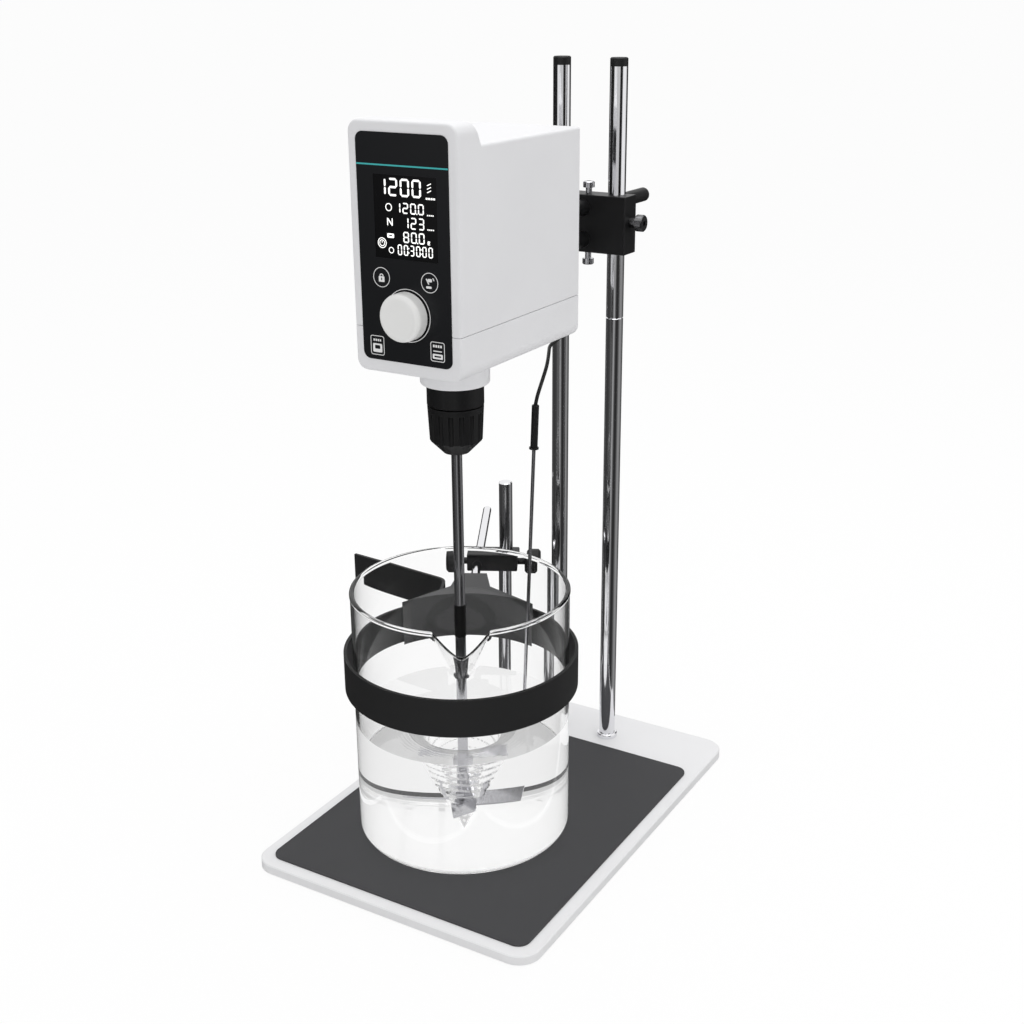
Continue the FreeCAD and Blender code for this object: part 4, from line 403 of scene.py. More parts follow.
def moulded(name, colour, roughness=0.5, scale=900.0, height=0.1, spread=0.08, worn=None, amount=0.8,
            gloss=0.5):
    """Plastic, rubber or paint with a fine grain, and if asked, lighter convex edges: partly wear,
    partly a painted edge highlight.
    """
    material, tree, shader, place = new_material(name)
    grain = use_group(
        tree, "surface_grain", place, Grain_Scale=scale, Grain_Height=height, Roughness=roughness,
        Spread=spread,
    )
    if worn:
        edges = use_group(
            tree, "edge_wear_and_highlight", place, Colour=solid(colour), Worn_Colour=solid(worn), Amount=amount
        )
        link(edges.outputs["Colour"], grain.inputs["Colour"])
    else:
        grain.inputs["Colour"].default_value = solid(colour)
    link(grain.outputs["Colour"], shader.inputs["Base Color"])
    link(grain.outputs["Roughness"], shader.inputs["Roughness"])
    link(grain.outputs["Normal"], shader.inputs["Normal"])
    shader.inputs["Specular IOR Level"].default_value = gloss
    return material


def metal(name, colour, roughness, stretch=(700.0, 700.0, 9.0), height=0.1, spread=0.1):
    """Metal with drawn or brushed streaks."""
    material, tree, shader, place = new_material(name)
    streaks = use_group(
        tree, "drawn_streaks", place, Stretch=stretch, Streak_Height=height, Roughness=roughness,
        Spread=spread,
    )
    shader.inputs["Base Color"].default_value = solid(colour)
    shader.inputs["Metallic"].default_value = 1.0
    link(streaks.outputs["Roughness"], shader.inputs["Roughness"])
    link(streaks.outputs["Normal"], shader.inputs["Normal"])
    return material


def clear(name, ior, mirror=1.0):
    """Clear glass or liquid that lets lamps shine through, with all or a share of its mirror."""
    material, tree, shader, _ = new_material(name)
    shader.inputs["Base Color"].default_value = solid(PLAIN_WHITE)
    shader.inputs["Roughness"].default_value = 0.0
    shader.inputs["IOR"].default_value = ior
    shader.inputs["Specular Tint"].default_value = solid((mirror, mirror, mirror))
    shader.inputs["Transmission Weight"].default_value = 1.0
    let_through = node(tree, "BsdfTransparent")
    paths = node(tree, "LightPath")
    mixed = mix_shaders(
        tree, paths.outputs["Is Shadow Ray"], shader.outputs["BSDF"], let_through.outputs["BSDF"]
    )
    link(mixed, tree.nodes["Material Output"].inputs["Surface"])
    return material


def painted_light_and_shade_inside(name, ior, share, grey=1.0, outside=0.0):
    """Clear liquid with a share of emitted grey or white seen from within, and another from outside:
    painted light, and painted shade where the grey is dark.
    """
    material = clear(name, ior)
    tree = material.node_tree
    through = tree.nodes["Mix Shader"].outputs["Shader"]
    # This emission is painted light; a dark grey makes it painted shade.
    plain = node(tree, "Emission", Color=(grey, grey, grey, 1))
    within = node(tree, "NewGeometry")
    amount = node(tree, "MapRange", To_Min=outside, To_Max=share)
    link(within.outputs["Backfacing"], amount.inputs["Value"])
    mixed = mix_shaders(tree, amount.outputs["Result"], through, plain.outputs["Emission"])
    link(mixed, tree.nodes["Material Output"].inputs["Surface"])
    return material


def lit_and_painted_glow(name, colour, strength):
    """Marks in their own colour with a little light of their own: real light on the lit display, painted
    light on printed marks.
    """
    material, _, shader, _ = new_material(name)
    shader.inputs["Base Color"].default_value = solid(colour)
    shader.inputs["Roughness"].default_value = 0.5
    shader.inputs["Emission Color"].default_value = solid(colour)
    shader.inputs["Emission Strength"].default_value = strength
    return material


def finishes():
    """One material for each slot of the record."""
    white = (0.76, 0.76, 0.775)
    black = (0.009, 0.009, 0.0095)
    made = {}

    def add(maker, name, *look, **more):
        made[name] = maker(name, *look, **more)

    # The lighter edge colours are partly wear, partly painted edge highlight; on the white base paint
    # they are painted highlight.
    add(moulded, "base_paint", (0.8, 0.8, 0.81), 0.38, 500.0, 0.06, worn=(0.9, 0.9, 0.9), amount=0.6)
    add(moulded, "mat_rubber", (0.048, 0.048, 0.051), 0.72, 1500.0, 0.3, 0.12, gloss=0.3)
    add(moulded, "underlay_rubber", (0.03, 0.03, 0.03), 0.8, 1200.0, 0.3, gloss=0.3)
    add(metal, "post_chrome", (0.84, 0.84, 0.86), 0.09, height=0.0, spread=0.04)
    add(moulded, "cap_black", black, 0.5, 900.0, 0.1, gloss=0.3)
    add(metal, "screw_steel", (0.62, 0.62, 0.64), 0.22)
    add(moulded, "block_black", black, 0.4, 1100.0, 0.12, worn=(0.07, 0.07, 0.073), gloss=0.25)
    add(moulded, "grip_black", black, 0.5, 1200.0, 0.18, worn=(0.04, 0.04, 0.04), gloss=0.3)
    add(metal, "thumb_screw", (0.22, 0.22, 0.225), 0.25, (60.0, 500.0, 500.0))
    add(moulded, "housing_white", white, 0.46, 1300.0, 0.08, 0.05)
    add(moulded, "fascia_black", (0.0085, 0.009, 0.0105), 0.33, 1500.0, 0.05, 0.05, gloss=0.22)
    add(moulded, "display_black", (0.0025, 0.0025, 0.003), 0.2, 400.0, 0.01, 0.03, gloss=0.2)
    add(moulded, "board_green", (0.02, 0.12, 0.05), 0.45)
    add(moulded, "inner_plastic", (0.03, 0.03, 0.032), 0.55)
    add(moulded, "knob_white", (0.8, 0.8, 0.79), 0.4, 1500.0, 0.04, 0.05)
    add(moulded, "rocker_black", (0.012, 0.012, 0.012), 0.25, 800.0, 0.02, gloss=0.35)
    add(metal, "plate_aluminium", (0.7, 0.71, 0.73), 0.35, (12.0, 500.0, 500.0))
    add(moulded, "arm_steel", black, 0.3, 900.0, 0.03, gloss=0.4)
    add(metal, "motor_steel", (0.5, 0.5, 0.52), 0.32)
    add(metal, "pinion_brass", (0.72, 0.52, 0.2), 0.3)
    add(moulded, "chuck_black", black, 0.36, 1200.0, 0.06, worn=(0.05, 0.05, 0.05), amount=0.6,
        gloss=0.28)
    add(moulded, "sleeve_black", black, 0.42, 1400.0, 0.15, worn=(0.04, 0.04, 0.04), gloss=0.28)
    add(metal, "jaw_steel", (0.42, 0.42, 0.44), 0.3)
    add(metal, "stirrer_steel", (0.5, 0.5, 0.52), 0.16, height=0.05)
    add(moulded, "band_black", (0.004, 0.004, 0.004), 0.4, 900.0, 0.05, gloss=0.25)
    add(moulded, "cable_black", (0.008, 0.008, 0.008), 0.42, 900.0, 0.06, gloss=0.3)
    add(moulded, "strap_black", (0.016, 0.016, 0.0165), 0.6, 1500.0, 0.3, 0.12, worn=(0.05, 0.05, 0.05),
        gloss=0.25)
    add(moulded, "jaw_black", (0.045, 0.045, 0.047), 0.55, 1100.0, 0.2, worn=(0.1, 0.1, 0.1), gloss=0.4)
    add(clear, "beaker_glass", GLASS_IOR, GLASS_MIRROR)
    return made


MATERIALS = {}


class STIRRER_OT_finishes(bpy.types.Operator):
    """Gives every part of the frame its finish"""
    bl_idname = "stirrer.finishes"
    bl_label = "Finishes"

    def execute(self, context):
        MATERIALS.update(finishes())
        for entry in frame["record"]["subparts"]:
            part = frame["nodes"][entry["node"]]
            part.data.materials.clear()
            part.data.materials.append(MATERIALS[entry["material_slot"]])
            for face in part.data.polygons:
                face.material_index = 0
        return {"FINISHED"}


# Camera, lamps and floor

def aim(turn, dip, roll):
    """The camera's axes as a rotation: right, up and back."""
    ahead = Vector((-math.sin(turn) * math.cos(dip), math.cos(turn) * math.cos(dip), -math.sin(dip)))
    right = Vector((math.cos(turn), math.sin(turn), 0))
    up = right.cross(ahead)
    axes = Matrix((right, up, -ahead)).transposed()
    return axes @ Matrix.Rotation(roll, 3, "Z")


def soft_lamp(name, place, target, size, power):
    lamp_data = bpy.data.lights.new(name, "AREA")
    lamp_data.shape = "DISK"
    lamp_data.size = size
    lamp_data.energy = power
    lamp = placed(name, lamp_data)
    lamp.location = place
    lamp.rotation_euler = (Vector(target) - Vector(place)).to_track_quat("-Z", "Y").to_euler()
    return lamp


def studio_world(level):
    """White to the camera, to mirrors and to glass, and a plain grey light on everything else."""
    world = bpy.data.worlds.new("studio")
    bpy.context.scene.world = world
    world.use_nodes = True
    tree = world.node_tree
    background = tree.nodes["Background"]
    background.inputs["Color"].default_value = (1, 1, 1, 1)
    paths = node(tree, "LightPath").outputs
    seen = sum_up(tree, "MAXIMUM", paths["Is Camera Ray"], paths["Is Glossy Ray"])
    seen = sum_up(tree, "MAXIMUM", seen, paths["Is Transmission Ray"])
    strength = node(tree, "MapRange", To_Min=level)
    link(seen, strength.inputs["Value"])
    link(strength.outputs["Result"], background.inputs["Strength"])


# What polished metal finds round the posts, a painted reflection on the floor: (azimuth in degrees,
# grey), near them and far from them
NEAR_REFLECTION_GREYS = [
    (-180, 0.05), (-130, 0.07), (-95, 0.06), (-60, 0.04), (-30, 0.06), (-5, 0.13), (8, 0.09), (22, 0.42),
    (34, 0.16), (48, 0.03), (72, 0.028), (86, 0.10), (105, 0.28), (125, 0.26), (150, 0.10), (180, 0.05),
]
FAR_REFLECTION_GREYS = [
    (-180, 0.0), (-100, 0.02), (-84, 0.0), (-36, 0.0), (-28, 0.9), (-4, 0.8), (10, 0.55), (34, 0.62),
    (42, 0.6), (47, 0.0), (74, 0.0), (84, 0.95), (130, 0.95), (142, 0.1), (160, 0.0), (180, 0.0),
]
NEAR_REACH = 2.6
FAR_REACH = 3.2
POST_ROW = 0.1373
MOST_BOUNCES = 12.0


def grey_round(tree, turn, greys):
    """A grey that changes with the direction round the posts."""
    ramp = node(tree, "ValToRGB")
    link(turn, ramp.inputs["Fac"])
    stops = ramp.color_ramp.elements
    while len(stops) > 1:
        stops.remove(stops[-1])
    for number, (azimuth, grey) in enumerate(greys):
        stop = stops[0] if number == 0 else stops.new(azimuth / 360 + 0.5)
        stop.position = azimuth / 360 + 0.5
        stop.color = (grey, grey, grey, 1)
    return ramp.outputs["Color"]


def painted_reflection_floor(tree, place):
    """The floor as polished metal finds it: a painted reflection of dark and light stripes that run out
    from the posts.
    """
    apart = node(tree, "SeparateXYZ")
    link(place, apart.inputs[0])
    back = sum_up(tree, "SUBTRACT", POST_ROW, apart.outputs["Y"])
    angle = sum_up(tree, "ARCTAN2", apart.outputs["X"], back)
    turn = node(tree, "MapRange", From_Min=-math.pi, From_Max=math.pi)
    link(angle, turn.inputs["Value"])
    flat = node(tree, "CombineXYZ")
    link(apart.outputs["X"], flat.inputs["X"])
    link(back, flat.inputs["Y"])
    reach = node(tree, "VectorMath", operation="LENGTH")
    link(flat.outputs[0], reach.inputs[0])
    share = node(tree, "MapRange", interpolation_type="SMOOTHSTEP")
    share.inputs["From Min"].default_value = NEAR_REACH
    share.inputs["From Max"].default_value = FAR_REACH
    link(reach.outputs["Value"], share.inputs["Value"])
    mix = node(tree, "Mix", data_type="RGBA")
    link(share.outputs["Result"], mix.inputs["Factor"])
    link(grey_round(tree, turn.outputs["Result"], NEAR_REFLECTION_GREYS), mix.inputs[6])
    link(grey_round(tree, turn.outputs["Result"], FAR_REFLECTION_GREYS), mix.inputs[7])
    return mix.outputs[2]


def floor_material(tone, glow):
    """A pale floor that looks almost white and keeps the object's shadow."""
    material, tree, shader, place = new_material("studio_floor")
    shader.inputs["Base Color"].default_value = solid(tone)
    shader.inputs["Roughness"].default_value = 0.9
    white = node(tree, "Emission", Color=solid(PLAIN_WHITE))
    paths = node(tree, "LightPath").outputs
    seen = sum_up(tree, "MAXIMUM", paths["Is Camera Ray"], paths["Is Transmission Ray"])
    share = sum_up(tree, "MULTIPLY", seen, glow)
    shown = mix_shaders(tree, share, shader.outputs["BSDF"], white.outputs["Emission"])
    # Rays from polished metal see the painted reflection in place of the floor.
    painted_reflection = node(tree, "Emission")
    link(painted_reflection_floor(tree, place), painted_reflection.inputs["Color"])
    scattered = sum_up(tree, "MULTIPLY", paths["Diffuse Depth"], MOST_BOUNCES)
    bounced = sum_up(tree, "SUBTRACT", paths["Glossy Depth"], scattered, use_clamp=True)
    found = mix_shaders(tree, bounced, shown, painted_reflection.outputs["Emission"])
    link(found, tree.nodes["Material Output"].inputs["Surface"])
    return material


# Dark cards round the stage, which only mirrors see: (azimuth in degrees, distance, width)
DARK_CARDS = [(60, 3.6, 1.7), (162, 3.6, 2.1), (298, 3.6, 3.4)]
CARD_HEIGHT = 3.0


def dark_card(number, azimuth, distance, width, material):
    turn = math.radians(azimuth)
    place = (distance * math.sin(turn), -distance * math.cos(turn), CARD_HEIGHT / 2)
    clear_selection()
    bpy.ops.mesh.primitive_plane_add(size=1, location=place, rotation=(math.radians(90), 0, turn))
    card = bpy.context.object
    card.name = "dark_card_%d" % number
    card.scale = (width, CARD_HEIGHT, 1)
    settle(card)
    card.data.materials.append(material)
    card.visible_camera = False
    card.visible_diffuse = False
    card.visible_shadow = False
    card.visible_transmission = False


# Soft lamps, which shine at the middle of the object
LIT_MIDDLE = (0, 0, 0.25)
KEY_PLACE = (0.1, 0.1, 2.2)
KEY_WIDTH = 1.6
FILL_PLACE = (1.9, 0.1, 1.0)
FILL_WIDTH = 1.4
SENSOR_WIDTH = 36


class STIRRER_OT_stage(bpy.types.Operator):
    """Sets up the camera, the lamps and the floor"""
    bl_idname = "stirrer.stage"
    bl_label = "Stage"

    def execute(self, context):
        settings = context.scene.stirrer_stage
        camera_data = bpy.data.cameras.new("camera")
        camera_data.sensor_width = SENSOR_WIDTH
        camera_data.lens = settings.focal_length
        camera_data.shift_x, camera_data.shift_y = settings.shift
        camera = placed("camera", camera_data)
        turned = aim(settings.camera_turn, settings.camera_dip, settings.camera_roll)
        camera.matrix_world = Matrix.Translation(settings.camera_place) @ turned.to_4x4()
        context.scene.camera = camera
        context.scene.view_settings.view_transform = "Standard"
        soft_lamp("key", KEY_PLACE, LIT_MIDDLE, KEY_WIDTH, settings.key_power)
        fill = soft_lamp("fill", FILL_PLACE, LIT_MIDDLE, FILL_WIDTH, settings.fill_power)
        fill.visible_glossy = False
        studio_world(settings.sky_level)
        clear_selection()
        bpy.ops.mesh.primitive_plane_add(size=settings.floor_size, location=(0, 0, 0))
        ground = bpy.context.object
        ground.name = "studio_floor"
        ground.data.materials.append(floor_material(settings.floor_tone, settings.floor_glow))
        dark = moulded("card_black", (0.01, 0.01, 0.01), roughness=0.9)
        for number, (azimuth, distance, width) in enumerate(DARK_CARDS, start=1):
            dark_card(number, azimuth, distance, width, dark)
        return {"FINISHED"}


# Probe lead

LEAD_ROUTE = [
    (0.0190, 0.0616, 0.4200),
    (0.0190, 0.0730, 0.4200),
    (0.0185, 0.0805, 0.4100),
    (0.0160, 0.0785, 0.3975),
    (0.0120, 0.0690, 0.3890),
    (0.0094, 0.0575, 0.3852),
    (0.0141, 0.0480, 0.3828),
    (0.0182, 0.0395, 0.3799),
    (0.0214, 0.0320, 0.3767),
    (0.0234, 0.0255, 0.3731),
    (0.0246, 0.0200, 0.3691),
    (0.0255, 0.0150, 0.3650),
    (0.0258, 0.0112, 0.3607),
    (0.0256, 0.0089, 0.3564),
    (0.0251, 0.0081, 0.3518),
]


class STIRRER_OT_probe_lead(bpy.types.Operator):
    """Lays the probe lead from its plug to the probe's grip"""
    bl_idname = "stirrer.probe_lead"
    bl_label = "Probe lead"

    def execute(self, context):
        settings = context.scene.stirrer_lead
        curve = bpy.data.curves.new("probe_lead", "CURVE")
        curve.dimensions = "3D"
        spline = curve.splines.new("NURBS")
        spline.points.add(len(LEAD_ROUTE) - 1)
        for point, place in zip(spline.points, LEAD_ROUTE):
            point.co = (*place, 1)
        spline.order_u = 3
        spline.use_endpoint_u = True
        spline.resolution_u = 12
        curve.bevel_depth = settings.diameter / 2
        curve.bevel_resolution = 6
        curve.use_fill_caps = True
        lead = placed("probe_lead", curve)
        finish_piece(lead, "probe_lead", MATERIALS["cable_black"], "head")
        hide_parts("probe_cable")
        return {"FINISHED"}


# Glassware: faces round the beaker, and along its corner, wall, lip and bead
GLASS_SIDES = 320
CORNER_STEPS = 10
WALL_STEPS = 6
LIP_STEPS = 20
BEAD_STEPS = 14
NECK_GAP = 0.4 * MM


def spun(name, profile, steps, centre):
    """A solid turned about the upright line through centre, from a closed (radius, height) profile."""
    clear_selection()
    mesh = bpy.data.meshes.new(name)
    points = [(radius, 0, height) for radius, height in profile]
    mesh.from_pydata(points, [(n, n + 1) for n in range(len(points) - 1)], [])
    piece = placed(name, mesh)
    take(piece)
    bpy.ops.object.mode_set(mode="EDIT")
    bpy.ops.mesh.select_all(action="SELECT")
    bpy.ops.mesh.spin(steps=steps, angle=2 * math.pi, center=(0, 0, 0), axis=(0, 0, 1))
    bpy.ops.object.mode_set(mode="OBJECT")
    clean_mesh(piece)
    piece.location = (centre.x, centre.y, 0)
    return settle(piece)


def arc(centre, radius, start, end, steps):
    """Points along an arc of a profile, angles in degrees from +radius towards +height."""
    points = []
    for step in range(steps + 1):
        angle = math.radians(start + (end - start) * step / steps)
        points.append((centre[0] + radius * math.cos(angle), centre[1] + radius * math.sin(angle)))
    return points


def beaker_profile(settings, outer, low, high):
    """The section of the beaker's wall, from the middle of the underside round to the middle inside."""
    corner = settings.corner
    inner = outer - settings.wall
    inner_corner = corner - settings.wall
    floor = low + settings.floor
    bead = settings.bead
    bead_centre = (outer - settings.wall / 2, high - bead)
    meeting = math.degrees(math.acos(settings.wall / 2 / bead))
    neck = bead_centre[1] - bead * math.sin(math.radians(meeting))
    lip_foot = high - settings.lip_depth
    plain = lip_foot - low - corner
    straight = [low + corner + plain * step / WALL_STEPS for step in range(1, WALL_STEPS)]
    straight += [lip_foot + (neck - lip_foot) * step / LIP_STEPS for step in range(LIP_STEPS)]
    straight += [neck - NECK_GAP]
    profile = [(0, low)]
    profile += arc((outer - corner, low + corner), corner, -90, 0, CORNER_STEPS)
    profile += [(outer, height) for height in straight]
    profile += arc(bead_centre, bead, -meeting, 180 + meeting, BEAD_STEPS)
    profile += [(inner, height) for height in straight[::-1] if height > floor + inner_corner]
    inner_middle = (inner - inner_corner, floor + inner_corner)
    profile += arc(inner_middle, inner_corner, 0, -90, CORNER_STEPS)
    profile += [(0, floor)]
    return profile


def lip_shape(share):
    """Height of the lip's outline over its half width: straight flanks that meet in a rounded tip."""
    share = min(1.0, abs(share))
    rounded = 0.2
    span = math.sqrt(1 + rounded ** 2) - rounded
    return 1 - (math.sqrt(share ** 2 + rounded ** 2) - rounded) / span


def pull_lip(piece, settings, centre, high):
    """Draws the rim out and down into the pouring lip."""
    toward = Vector((math.sin(settings.lip_turn), -math.cos(settings.lip_turn)))
    foot = high - settings.lip_depth
    for vertex in piece.data.vertices:
        if vertex.co.z <= foot:
            continue
        flat = Vector((vertex.co.x - centre.x, vertex.co.y - centre.y))
        rise = (vertex.co.z - foot) / settings.lip_depth
        half = settings.lip_half * (settings.lip_narrow + (1 - settings.lip_narrow) * rise)
        angle = flat.angle_signed(toward)
        pull = lip_shape(angle / half) * min(1.0, rise)
        outward = flat.normalized()
        outward = (outward + toward).normalized()
        vertex.co.x += outward.x * settings.lip_reach * pull
        vertex.co.y += outward.y * settings.lip_reach * pull
        vertex.co.z -= settings.lip_dip * pull
    piece.data.update()


class STIRRER_OT_beaker(bpy.types.Operator):
    """Turns the glass beaker and draws its pouring lip"""
    bl_idname = "stirrer.beaker"
    bl_label = "Beaker"

    def execute(self, context):
        settings = context.scene.stirrer_glassware
        outer = (GLASS_HIGH.x - GLASS_LOW.x) / 2 - settings.bead + settings.wall / 2
        profile = beaker_profile(settings, outer, GLASS_LOW.z, GLASS_HIGH.z)
        glass = spun("beaker_glass", profile, GLASS_SIDES, VESSEL_AXIS)
        pull_lip(glass, settings, VESSEL_AXIS, GLASS_HIGH.z)
        smooth(glass)
        finish_piece(glass, "beaker_glass", MATERIALS["beaker_glass"], "holder")
        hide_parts("beaker")
        return {"FINISHED"}


# The vortex: rounding of its mouth, crests that run down its wall, and how sharply the ripples end
MOUTH_ROUNDING = 0.02
CRESTS = 3
CREST_SHARE = 0.4
RIPPLE_END = 8


def vortex_height(settings, distance, angle):
    """Height of the liquid's surface at a distance from the shaft's axis."""
    share = distance / settings.vortex_spread
    slope = (1 - share + math.sqrt((1 - share) ** 2 + MOUTH_ROUNDING)) / 2
    fall = (settings.level - settings.vortex_low) * slope
    wave = math.sin(distance / settings.ripple_pitch * 2 * math.pi + angle)
    wave += CREST_SHARE * math.sin(CRESTS * angle + distance / settings.ripple_pitch)
    inside = 1 / (1 + share ** RIPPLE_END)
    return settings.level - fall + settings.ripple * wave * min(1, 2 * share) * inside


class STIRRER_OT_liquid(bpy.types.Operator):
    """Fills the beaker with liquid that the impeller has drawn into a vortex"""
    bl_idname = "stirrer.liquid"
    bl_label = "Liquid"

    rings = 130
    sides = 192
    crowding = 1.25
    corner_steps = 8
    overlap = 0.1 * MM
    foot_line = 3.5 * MM
    corner_share = 0.9
    wall_share = 0.995
    ring_start = 0.97

    def execute(self, context):
        settings = context.scene.stirrer_glassware
        inner = (GLASS_HIGH.x - GLASS_LOW.x) / 2 - settings.bead - settings.wall / 2 + self.overlap
        floor = GLASS_LOW.z + settings.floor - self.overlap
        corner = settings.corner - settings.wall
        axis = Vector((SHAFT_AXIS.x, SHAFT_AXIS.y))
        centre = Vector((VESSEL_AXIS.x, VESSEL_AXIS.y))
        mesh = bmesh.new()
        rows = []
        walls = []
        for side in range(self.sides):
            angle = 2 * math.pi * side / self.sides
            way = Vector((math.cos(angle), math.sin(angle)))
            offset = axis - centre
            along = offset.dot(way)
            reach = -along + math.sqrt(along ** 2 - offset.length_squared + inner ** 2)
            row = []
            for ring in range(1, self.rings + 1):
                distance = reach * (ring / self.rings) ** self.crowding
                place = axis + way * distance
                height = vortex_height(settings, distance, angle)
                row.append(mesh.verts.new((place.x, place.y, height)))
            rows.append(row)
            wall_place = axis + way * reach
            outward = (wall_place - centre).normalized()
            wall = [mesh.verts.new((wall_place.x, wall_place.y, floor + corner + self.foot_line))]
            bend = arc((inner - corner, floor + corner), corner, 0, -90, self.corner_steps)
            for radius, height in bend:
                place = centre + outward * radius
                wall.append(mesh.verts.new((place.x, place.y, height)))
            walls.append(wall)
        tip = mesh.verts.new((axis.x, axis.y, vortex_height(settings, 0, 0)))
        foot = mesh.verts.new((centre.x, centre.y, floor))
        for side in range(self.sides):
            after = (side + 1) % self.sides
            here = [tip] + rows[side] + walls[side] + [foot]
            beside = [tip] + rows[after] + walls[after] + [foot]
            for n in range(len(here) - 1):
                corners = [here[n], here[n + 1], beside[n + 1], beside[n]]
                mesh.faces.new(dict.fromkeys(corners))
        bmesh.ops.recalc_face_normals(mesh, faces=mesh.faces)
        data = bpy.data.meshes.new("liquid")
        mesh.to_mesh(data)
        mesh.free()
        liquid = placed("liquid", data)
        smooth(liquid, math.radians(60))
        finish_piece(liquid, "liquid", clear("liquid", LIQUID_IOR), "holder")
        # The wall and foot glow with painted light, and the ring round the vortex is painted shade.
        for material in (
            painted_light_and_shade_inside("liquid_wall_painted_light", LIQUID_IOR, settings.wall_painted_light),
            painted_light_and_shade_inside("liquid_foot_painted_light", LIQUID_IOR, settings.foot_painted_light),
            painted_light_and_shade_inside("liquid_painted_shade_ring", LIQUID_IOR, share=0.7, grey=0.22, outside=0.35),
        ):
            liquid.data.materials.append(material)
        wall_low = floor + corner + self.foot_line
        for face in liquid.data.polygons:
            distance = (face.center.to_2d() - axis).length
            from_centre = (face.center.to_2d() - centre).length
            if face.center.z < floor + corner * self.corner_share:
                face.material_index = 2
            elif from_centre > inner * self.wall_share and face.center.z > wall_low:
                face.material_index = 1
            # Faces in the ring round the vortex take the painted shade.
            elif settings.vortex_spread * self.ring_start < distance < settings.painted_shade_ring:
                face.material_index = 3
        return {"FINISHED"}


# Panel: figures, icons and marks are thin shapes that lie on the panel's face

def ring_points(x, z, radius, steps=48):
    return [
        (x + radius * math.cos(2 * math.pi * n / steps), z + radius * math.sin(2 * math.pi * n / steps))
        for n in range(steps)
    ]


def ring(x, z, radius, width, steps=48):
    """A circle line: its outer and inner edge."""
    return [ring_points(x, z, radius, steps), ring_points(x, z, radius - width, steps)]


def rounded_points(x, z, width, height, radius, steps=5):
    """A rounded rectangle round (x, z)."""
    points = []
    for number, (side, end) in enumerate(((1, 1), (-1, 1), (-1, -1), (1, -1))):
        cx = x + side * (width / 2 - radius)
        cz = z + end * (height / 2 - radius)
        for step in range(steps + 1):
            angle = math.pi / 2 * (number + step / steps)
            points.append((cx + radius * math.cos(angle), cz + radius * math.sin(angle)))
    return points


def bar(x1, z1, x2, z2, width):
    """A straight stroke with square ends."""
    along = Vector((x2 - x1, z2 - z1)).normalized()
    side = Vector((-along.y, along.x)) * (width / 2)
    return [
        (x1 + side.x, z1 + side.y), (x1 - side.x, z1 - side.y),
        (x2 - side.x, z2 - side.y), (x2 + side.x, z2 + side.y),
    ]


def segment(x1, z1, x2, z2, width):
    """One bar of a figure, with pointed ends."""
    along = Vector((x2 - x1, z2 - z1)).normalized()
    side = Vector((-along.y, along.x)) * (width / 2)
    tip = along * (width / 2)
    return [
        (x1, z1), (x1 + tip.x + side.x, z1 + tip.y + side.y), (x2 - tip.x + side.x, z2 - tip.y + side.y),
        (x2, z2), (x2 - tip.x - side.x, z2 - tip.y - side.y), (x1 + tip.x - side.x, z1 + tip.y - side.y),
    ]


# The bars of each figure: top, upper right, lower right, bottom, lower left, upper left, middle
FIGURE_BARS = {
    "0": "abcdef", "1": "bc", "2": "abged", "3": "abgcd", "8": "abcdefg",
}


def figure(character, x, z, width, height, stroke):
    """A figure of seven bars, with its lower left corner at (x, z)."""
    gap = stroke * 0.12
    left, right = x + stroke / 2, x + width - stroke / 2
    low, high, middle = z + stroke / 2, z + height - stroke / 2, z + height / 2
    ends = {
        "a": (left + gap, high, right - gap, high),
        "b": (right, high - gap, right, middle + gap),
        "c": (right, middle - gap, right, low + gap),
        "d": (left + gap, low, right - gap, low),
        "e": (left, middle - gap, left, low + gap),
        "f": (left, high - gap, left, middle + gap),
        "g": (left + gap, middle, right - gap, middle),
    }
    return [segment(*ends[name], stroke) for name in FIGURE_BARS[character]]


def figures(text, right, z, width, height, stroke, pitch):
    """Figures in a row that ends at right; a point or colon takes no place of its own."""
    loops = []
    x = right - width
    for character in reversed(text):
        if character in ".:":
            dot_x = x + pitch - (pitch - width) / 2 - stroke * 0.2
            heights = [z + stroke / 2] if character == "." else [z + height * 0.3, z + height * 0.7]
            loops += [rounded_points(dot_x, dot_z, stroke, stroke, stroke * 0.2) for dot_z in heights]
        else:
            loops += figure(character, x, z, width, height, stroke)
            x -= pitch
    return loops


def inlay(name, loops, face, depth, material):
    """A thin piece on the panel: its loops are drawn in millimetres, x to the right and z up."""
    curve = bpy.data.curves.new(name, "CURVE")
    curve.dimensions = "2D"
    curve.fill_mode = "BOTH"
    curve.extrude = depth / 2
    for loop in loops:
        spline = curve.splines.new("POLY")
        spline.points.add(len(loop) - 1)
        for point, (x, z) in zip(spline.points, loop):
            point.co = (x * MM, z * MM, 0, 1)
        spline.use_cyclic_u = True
    piece = placed(name, curve)
    take(piece)
    bpy.ops.object.convert(target="MESH")
    piece = bpy.context.object
    piece.rotation_euler = (math.radians(90), 0, 0)
    piece.location = (0, face - depth / 2, 0)
    settle(piece)
    clean_mesh(piece)
    return finish_piece(piece, name, material, "head")


def bow(x, z, radius, width, steps=12):
    """A half ring as one closed outline."""
    turns = [math.pi * n / steps for n in range(steps + 1)]
    thin = radius - width
    outer = [(x + radius * math.cos(turn), z + radius * math.sin(turn)) for turn in turns]
    inner = [(x + thin * math.cos(turn), z + thin * math.sin(turn)) for turn in turns]
    return outer + inner[::-1]


def dashes(x, z, reach, pitch, number, width):
    """Short strokes in a row."""
    starts = [x + pitch * n for n in range(number)]
    return [bar(start, z, start + reach, z, width) for start in starts]


